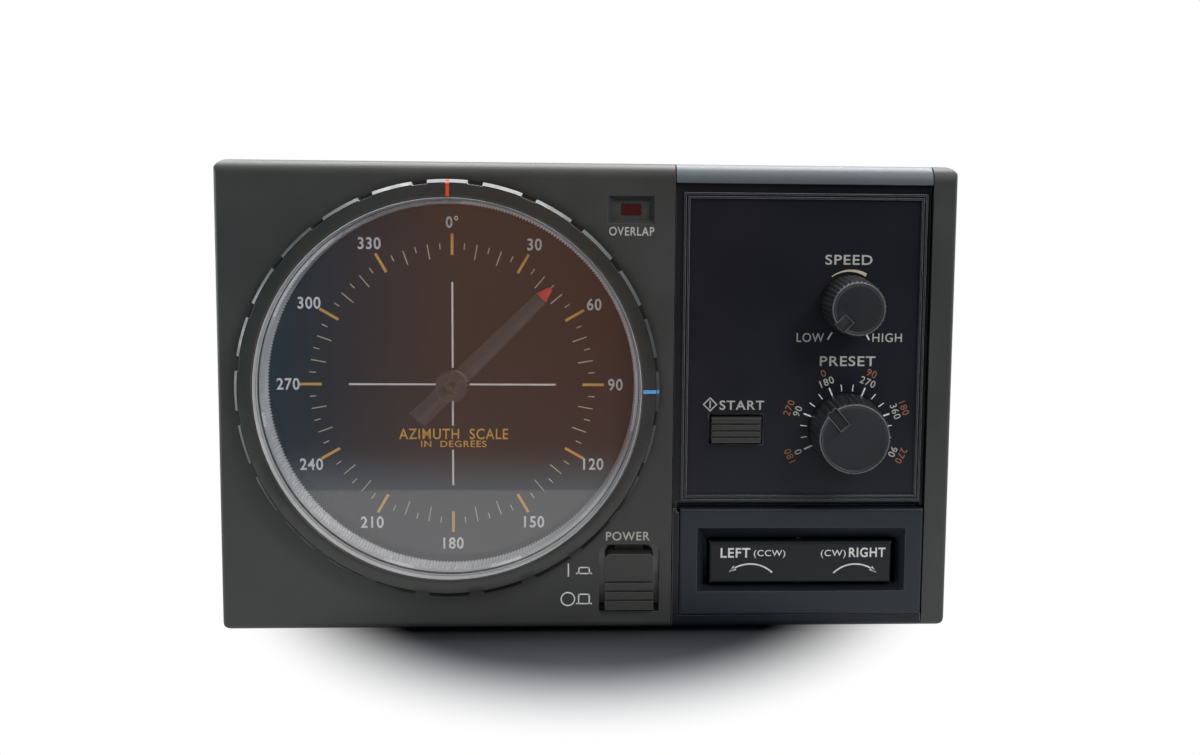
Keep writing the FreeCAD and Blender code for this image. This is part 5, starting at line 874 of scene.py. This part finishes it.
def panel_print():
    """Words, marks and scales round the start button and the two knobs."""
    for name, words, x, z, weight in (
        ("start_word", "START", (35.8, 48.2), (62.7, 65.3), 0.012),
        ("speed_word", "SPEED", (64.3, 77.3), (103.1, 105.85), 0.012),
        ("low_word", "LOW", (56.8, 64.4), (81.7, 84.2), 0.004),
        ("high_word", "HIGH", (77.9, 86.1), (81.8, 84.2), 0.004),
        ("preset_word", "PRESET", (63.4, 78.9), (75.0, 77.8), 0.012),
    ):
        lettering(name, words, x, z, PANEL, PALE_INK, "case", weight)
    start_symbol()
    speed_wedge()
    marks = [radial_bar("mark", SPEED, 9.2, 11.6, 0.42, degrees, PANEL) for degrees in (-150, 150)]
    fitted(joined("speed_marks", marks), "case", WHITE_INK)
    first_number, step = -115, 46
    ticks = []
    for index in range(16):
        inner, width = (10.4, 0.42) if index % 3 == 0 else (11.0, 0.26)
        ticks.append(radial_bar("tick", PRESET, inner, 12.85, width, index * step / 3 + first_number, PANEL))
    fitted(joined("preset_ticks", ticks), "case", WHITE_INK)
    pairs = (("0", "180"), ("90", "270"), ("180", "0"), ("270", "90"), ("360", "180"), ("90", "270"))
    for index, pair in enumerate(pairs):
        degrees = index * step + first_number
        rows = (("inner", 14.65, PALE_INK), ("outer", 17.25, ORANGE_INK))
        for words, (row, radius, ink) in zip(pair, rows):
            place = around(PRESET, radius, degrees)
            printed_number(f"preset_{row}_{index}", words, place, 2.0, PANEL, ink, degrees, 0.005)


def speed_wedge():
    """The printed arc over the speed knob, thin on the left and thick on the right."""
    left, top, right = (66.2, 99.85), (72.0, 101.7), (75.9, 100.6)
    centre, radius = arc_through(left, top, right)
    start, end = bearing(left, centre), bearing(right, centre)
    steps = 20
    thin, growth = 0.2, 0.75
    band = arc_band("speed_wedge", centre, radius, start, end, thin, PANEL, steps)
    edit(band)
    for step in range(steps + 1):
        degrees = start + (end - start) * step / steps

        def inner_edge_here(point):
            away, angle = polar(point, centre)
            return abs(angle - degrees) < (end - start) / 50 and away < radius

        pick_points(band, inner_edge_here)
        inward = around((0, 0), -growth * step / steps, degrees)
        bpy.ops.transform.translate(value=(inward[0] * MM, 0, inward[1] * MM))
    done_editing()
    fitted(band, "case", CREAM_INK)


# The direction ring and its marks


def lobed_ring():
    """The ring turned by hand, with a shallow notch between its lobes."""
    profile = [
        (51.9, FACE - 2.1),
        (51.9, FACE - 4.3),
        (52.3, RING_FACE),
        (55.6, RING_FACE),
        (RING_RADIUS, FACE - 3.7),
        (RING_RADIUS, FACE - 0.4),
        (53.9, FACE - 0.4),
        (53.9, FACE + 3.3),
        (52.7, FACE + 3.3),
        (52.7, FACE - 2.1),
    ]
    ring = turned("direction_ring_lobed", DIAL, profile, 26 * LOBES, closed=True)
    pitch = 360 / LOBES
    half_notch = 1.9
    notch_depth = 1.0

    def in_notch(point):
        radius, degrees = polar(point, DIAL)
        return radius > RING_RADIUS - 0.1 and abs(degrees % pitch - pitch / 2) < half_notch

    edit(ring)
    pick_points(ring, in_notch)
    drawn_in(DIAL, (RING_RADIUS - notch_depth) / RING_RADIUS)
    done_editing()
    softened(ring, 0.12, 2, 28)
    smooth(ring, 40)
    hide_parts("direction_ring")
    fitted(ring, "ring", FINISHES["ring_plastic"])


def lobe_edges():
    """A painted highlight on the ring's bevels, one pale metallic strip to each lobe, and painted shade, a
    dark band behind the lobes that shows as the dark gap between them.
    """
    half_arc = 180 / LOBES - 2.05
    middle = 56.25
    edge = arc_band("ring_highlight_strips", DIAL, middle, -half_arc, half_arc, 0.86, FACE - 3.77)
    edit(edge)
    pick_points(edge, lambda point: polar(point, DIAL)[0] < middle)
    bpy.ops.transform.translate(value=(0, -0.9 * MM, 0))
    done_editing()
    edges = spokes("ring_highlight_strips", DIAL, LOBES, edge)
    fitted(edges, "ring", FINISHES["ring_edge_highlight"])
    # Painted shade: a dark band behind the lobes, seen only in the notches between them.
    profile = [(55.2, FACE - 0.8), (56.6, FACE - 0.8), (56.6, FACE - 0.45), (55.2, FACE - 0.45)]
    gap = turned("ring_gap_shade", DIAL, profile, 240, closed=True)
    fitted(gap, "ring", FINISHES["foot_rubber"])


def ring_mark(name, degrees, width, ink):
    """A coloured mark let into the ring's face and bent over its bevel."""
    x, z = DIAL
    across, deep = (x - width / 2, x + width / 2), (RING_FACE - 0.16, RING_FACE + 0.1)
    mark = block(name, across, deep, (z + 52.2, z + 56.6))
    edit(mark)
    bpy.ops.mesh.select_all(action="SELECT")
    bpy.ops.mesh.bisect(plane_co=(0, 0, (z + 55.6) * MM), plane_no=(0, 0, 1))
    pick_points(mark, lambda point: point.z > z + 56)
    bpy.ops.transform.translate(value=(0, 0.9 * MM, 0))
    done_editing()
    swung(mark, DIAL, degrees)
    softened(mark, 0.03, 1)
    fitted(mark, "ring", ink)


def toothed_ring():
    """The bright ring round the scale, with a fine tooth to each degree."""
    teeth = 360
    pitch = 360 / teeth
    low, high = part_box("serrated_ring")
    outer = (high[0] - low[0]) / 2 / MM
    front, back = low[1] / MM, high[1] / MM
    crest, root = 49.95, 50.5
    ring = turned("serrated_ring_fine", DIAL, [(crest, front), (crest, back), (outer, back), (outer, front)],
                  2 * teeth, closed=True)

    def in_root(point):
        radius, degrees = polar(point, DIAL)
        return radius < root and 0.25 < degrees % pitch / pitch < 0.75

    edit(ring)
    pick_points(ring, in_root)
    drawn_in(DIAL, root / crest)
    done_editing()
    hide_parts("serrated_ring")
    fitted(ring, "case", FINISHES["serrated_metal"])


def rim_band():
    """The pale lining inside the direction ring."""
    profile = [(51.88, FACE - 4.25), (51.88, FACE - 2.1), (51.6, FACE - 2.1), (51.7, FACE - 4.25)]
    band = turned("ring_lining", DIAL, profile, 360, closed=True)
    smooth(band)
    fitted(band, "ring", FINISHES["inner_plastic"])


# The pointer


def ridged_bar(name, half_width, inner, outer, taper_from, taper, rounding):
    """A length of the pointer, ridged along its middle, narrower past a place, and at its angle at rest."""
    x, z = DIAL
    across, deep = (x - half_width, x + half_width), (POINTER_BACK, POINTER_BACK + 0.7)
    bar = block(name, across, deep, (z + inner, z + outer))
    edit(bar)
    bpy.ops.mesh.select_all(action="SELECT")
    bpy.ops.mesh.bisect(plane_co=(x * MM, 0, 0), plane_no=(1, 0, 0))
    pick_points(bar, lambda point: abs(point.x - x) < 0.01 and point.y < POINTER_BACK + 0.1)
    bpy.ops.transform.translate(value=(0, -RIDGE * MM, 0))
    pick_points(bar, lambda point: point.z > z + taper_from)
    bpy.ops.transform.resize(value=(taper, 1, 1), center_override=(x * MM, POINTER_BACK * MM, z * MM))
    done_editing()
    softened(bar, rounding, 2, 20)
    smooth(bar, 25)
    return swung(bar, DIAL, 45)


def clear_pointer():
    """The clear blade with its stepped hub, and the red tip."""
    joint = 34.6
    blade = ridged_bar("pointer_blade", 2.7, -13.3, joint, 30, 3.6 / 5.4, 0.08)
    profile = [
        (1.6, FACE + 2.1),
        (2.4, FACE + 2.1),
        (2.5, FACE + 2.35),
        (3.5, FACE + 2.35),
        (3.6, FACE + 2.0),
        (4.2, FACE + 2.0),
        (4.4, FACE + 2.2),
        (4.4, FACE + 5.5),
        (1.6, FACE + 5.5),
    ]
    hub = turned("pointer_hub", DIAL, profile, 72, closed=True)
    softened(hub, 0.06, 2)
    smooth(hub)
    pointer = joined("pointer_blade", [blade, hub])
    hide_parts("pointer")
    fitted(pointer, "pointer", FINISHES["pointer_clear"])
    tip = ridged_bar("pointer_tip", 1.8, joint, 38.2, 38, 0.35, 0.1)
    fitted(tip, "pointer", FINISHES["tip_red"])


# Knobs


def fluted_knob(node, centre, radius, reach, index_length, index_angle):
    """A knob with fine flutes, a sunk face, an index groove, and thin pale metallic lines round its rim and
    groove, a painted highlight where the edges catch the light.
    """
    name = f"{node}_fluted"
    flutes = 36
    flute_depth = 0.3
    base = PANEL - 0.6
    face = FACE - reach
    profile = [
        (3.05, base - 3.0),
        (6.2, base - 3.0),
        (6.2, base),
        (radius + 0.4, base),
        (radius + 0.36, base - 1.2),
        (radius, face + 0.9),
        (radius - 0.55, face),
        (radius - 1.15, face),
        (radius - 1.45, face + 0.3),
        (radius - 1.6, face + 0.32),
    ]
    knob = turned(name, centre, profile, flutes * 6)
    pitch = 360 / flutes

    def in_flute(point):
        away, degrees = polar(point, centre)
        off_middle = min(degrees % pitch, pitch - degrees % pitch)
        return away > radius - 0.1 and point.y < base - 1.0 and off_middle < pitch / 4.5

    edit(knob)
    pick_points(knob, in_flute)
    drawn_in(centre, (radius - flute_depth) / radius)
    done_editing()
    x, z = centre
    inner_end = z + radius - index_length
    tool = block("index_tool", (x - 1.55, x + 1.55), (face - 1, face + 0.8), (inner_end, z + radius + 2))
    carved(knob, swung(tool, centre, index_angle))
    softened(knob, 0.09, 2, 32)
    smooth(knob, 35)
    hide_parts(node)
    fitted(knob, node, FINISHES["knob_plastic"])
    # Painted highlight: a pale metallic crest round the sunk face and thin lines round the index groove.
    crest = [
        (radius - 0.62, face - 0.02),
        (radius - 0.5, face + 0.08),
        (radius - 0.6, face + 0.12),
        (radius - 0.8, face),
    ]
    rim = turned(f"{name}_rim", centre, crest, 180, closed=True)
    tool = block("rim_tool", (x - 1.5, x + 1.5), (face - 1, face + 1), (z + radius - 2, z + radius + 2))
    carved(rim, swung(tool, centre, index_angle))
    deep, outer_end = (face - 0.02, face + 0.1), z + radius - 0.75
    outline = [
        block("line", (x - 1.65, x - 1.49), deep, (inner_end, outer_end)),
        block("line", (x + 1.49, x + 1.65), deep, (inner_end, outer_end)),
        block("line", (x - 1.65, x + 1.65), deep, (inner_end - 0.16, inner_end)),
    ]
    lines = [swung(line, centre, index_angle) for line in outline]
    fitted(joined(f"{name}_rim", [rim] + lines), node, FINISHES["knob_rim_highlight"])


# Floor, lights and camera


def pale_floor():
    """A floor that keeps the shadow near the object and fades to plain white; near the object its colour is a
    painted dark blue-grey, with painted corner shade on top, so the shadow there is deeper.
    """
    nothing_selected()
    depth = 20
    front_edge = -0.25
    bpy.ops.mesh.primitive_plane_add(size=1, location=(0, front_edge + depth / 2, -0.00002))
    floor = named("floor")
    floor.scale = (40, depth, 1)
    settle(floor)
    material, tree, shader = new_material("floor_white")
    shader.inputs["Roughness"].default_value = 0.35
    shader.inputs["Specular IOR Level"].default_value = 0.5
    # Painted shade: dark blue-grey near the object, darkened further by corner shade of two reaches.
    near = dusty_corners(tree, (0.25, 0.265, 0.305, 1), 120)
    tree.links.new(dusty_corners(tree, near, 80), shader.inputs["Base Color"])
    glow = tree.nodes.new("ShaderNodeEmission")
    glow.inputs["Color"].default_value = (1, 1, 1, 1)
    glow.inputs["Strength"].default_value = 1.0
    oval = tree.nodes.new("ShaderNodeVectorMath")
    oval.operation = "MULTIPLY"
    oval.inputs[1].default_value = (1.38, 1, 1)
    distance = tree.nodes.new("ShaderNodeVectorMath")
    distance.operation = "LENGTH"
    tree.links.new(object_coordinates(tree), oval.inputs[0])
    tree.links.new(oval.outputs["Vector"], distance.inputs[0])
    fade = way_along(tree, distance.outputs["Value"], 0.105, 0.155, eased=True)
    share = combined(tree, "MULTIPLY", seen_directly(tree), fade)
    surface = mixed_shader(tree, share, shader.outputs["BSDF"], glow.outputs["Emission"])
    tree.links.new(surface, tree.nodes["Material Output"].inputs["Surface"])
    floor.data.materials.append(material)


def dark_card():
    """A card behind the camera, seen only by glossy surfaces so that glossy fronts don't mirror a white
    surround; it glows with a painted reflection, dim blue to warm brown to near black across, pale grey along
    its low edge.
    """
    nothing_selected()
    bpy.ops.mesh.primitive_plane_add(size=1, location=(0, -0.62, 0.3), rotation=(math.pi / 2, 0, 0))
    card = named("dark_card")
    card.scale = (2.6, 1.4, 1)
    settle(card)
    material, tree, shader = new_material("reflection_card_glow")
    tree.nodes.remove(shader)
    place = object_place(tree)
    # Painted reflection: the colours that the dial window and glossy fronts mirror.
    across = way_along(tree, place["X"], -0.26, 0.14)
    painted_reflection = ramp_between(tree, across, (0.09, 0.19, 0.25, 1), (0.42, 0.23, 0.15, 1), 0.1, 0.42)
    ramp = painted_reflection.node.color_ramp
    for position, colour in ((0.68, (0.4, 0.2, 0.13, 1)), (0.86, (0.012, 0.016, 0.03, 1))):
        ramp.elements.new(position).color = colour
    upward = way_along(tree, place["Z"], -0.1, -0.06, eased=True)
    glow = tree.nodes.new("ShaderNodeEmission")
    tree.links.new(mixed_colour(tree, upward, (0.62, 0.68, 0.74, 1), painted_reflection), glow.inputs["Color"])
    tree.links.new(glow.outputs["Emission"], tree.nodes["Material Output"].inputs["Surface"])
    card.data.materials.append(material)
    card.visible_camera = False
    card.visible_diffuse = False
    card.visible_shadow = False
    card.visible_transmission = False


def soft_world():
    """A dim surround for the object, plain white where it is seen directly."""
    world = bpy.data.worlds.new("studio")
    bpy.context.scene.world = world
    world.use_nodes = True
    tree = world.node_tree
    dim = tree.nodes["Background"]
    dim.inputs["Color"].default_value = (0.93, 0.96, 1.0, 1)
    dim.inputs["Strength"].default_value = 0.12
    white = tree.nodes.new("ShaderNodeBackground")
    white.inputs["Color"].default_value = (1, 1, 1, 1)
    white.inputs["Strength"].default_value = 1.0
    surround = mixed_shader(tree, seen_directly(tree), dim.outputs["Background"], white.outputs["Background"])
    tree.links.new(surround, tree.nodes["World Output"].inputs["Surface"])


def area_light(name, place, aim, size, watts, colour):
    light = bpy.data.lights.new(name, "AREA")
    light.shape = "RECTANGLE"
    light.size = size[0]
    light.size_y = size[1]
    light.energy = watts
    light.color = colour
    obj = bpy.data.objects.new(name, light)
    bpy.context.scene.collection.objects.link(obj)
    obj.location = place
    obj.rotation_euler = (Vector(aim) - Vector(place)).to_track_quat("-Z", "Y").to_euler()


def studio_lights():
    area_light("top_softbox", (-0.05, 0.2, 0.75), (-0.05, 0.2, 0), (0.9, 0.62), 12.0, (1.0, 0.99, 0.98))
    area_light("left_softbox", (-0.8, -0.08, 0.16), (0, -0.08, 0.07), (0.5, 0.3), 1.4, (1.0, 0.99, 0.97))
    area_light("front_fill", (0.1, -1.3, 0.5), (0, 0, 0.06), (0.7, 0.5), 3.0, (0.98, 0.99, 1.0))
    area_light("right_key", (0.6, -0.75, 0.75), (-0.05, 0, 0.05), (0.4, 0.4), 6.0, (1.0, 0.99, 0.97))


def photo_camera():
    """The photograph's viewpoint, turned a little to the right and down."""
    width, height = 1200, 755
    focal_length = 1337.0
    axis = (665.7, 296.8)
    camera = bpy.data.cameras.new("camera")
    camera.sensor_width = 36
    camera.lens = focal_length / width * camera.sensor_width
    camera.shift_x = (width / 2 - axis[0]) / width
    camera.shift_y = (axis[1] - height / 2) / width
    camera.clip_start = 0.01
    obj = bpy.data.objects.new("camera", camera)
    bpy.context.scene.collection.objects.link(obj)
    level = Matrix.Rotation(math.pi / 2, 4, "X")
    yaw = Matrix.Rotation(math.radians(-3.03), 4, "Z")
    pitch = Matrix.Rotation(math.radians(-5.8), 4, "X")
    roll = Matrix.Rotation(math.radians(0.66), 4, "Z")
    obj.matrix_world = Matrix.Translation((0.00137, -0.4453, 0.13088)) @ yaw @ pitch @ level @ roll
    bpy.context.scene.camera = obj


bpy.context.scene.view_settings.view_transform = "Standard"
photo_camera()
soft_world()
studio_lights()
pale_floor()
dark_card()
dress_cad_nodes()
lobed_ring()
lobe_edges()
toothed_ring()
rim_band()
ring_mark("red_mark", 0, 0.95, RED_INK)
ring_mark("blue_mark", 90, 0.95, BLUE_INK)
clear_pointer()
fluted_knob("speed_knob", SPEED, 7.6, 12.0, 4.0, -136)
fluted_knob("preset_knob", PRESET, 10.0, 10.7, 6.0, -40.5)
dial_ticks()
dial_numbers()
dial_cross()
power_print()
panel_print()
rocker_print()
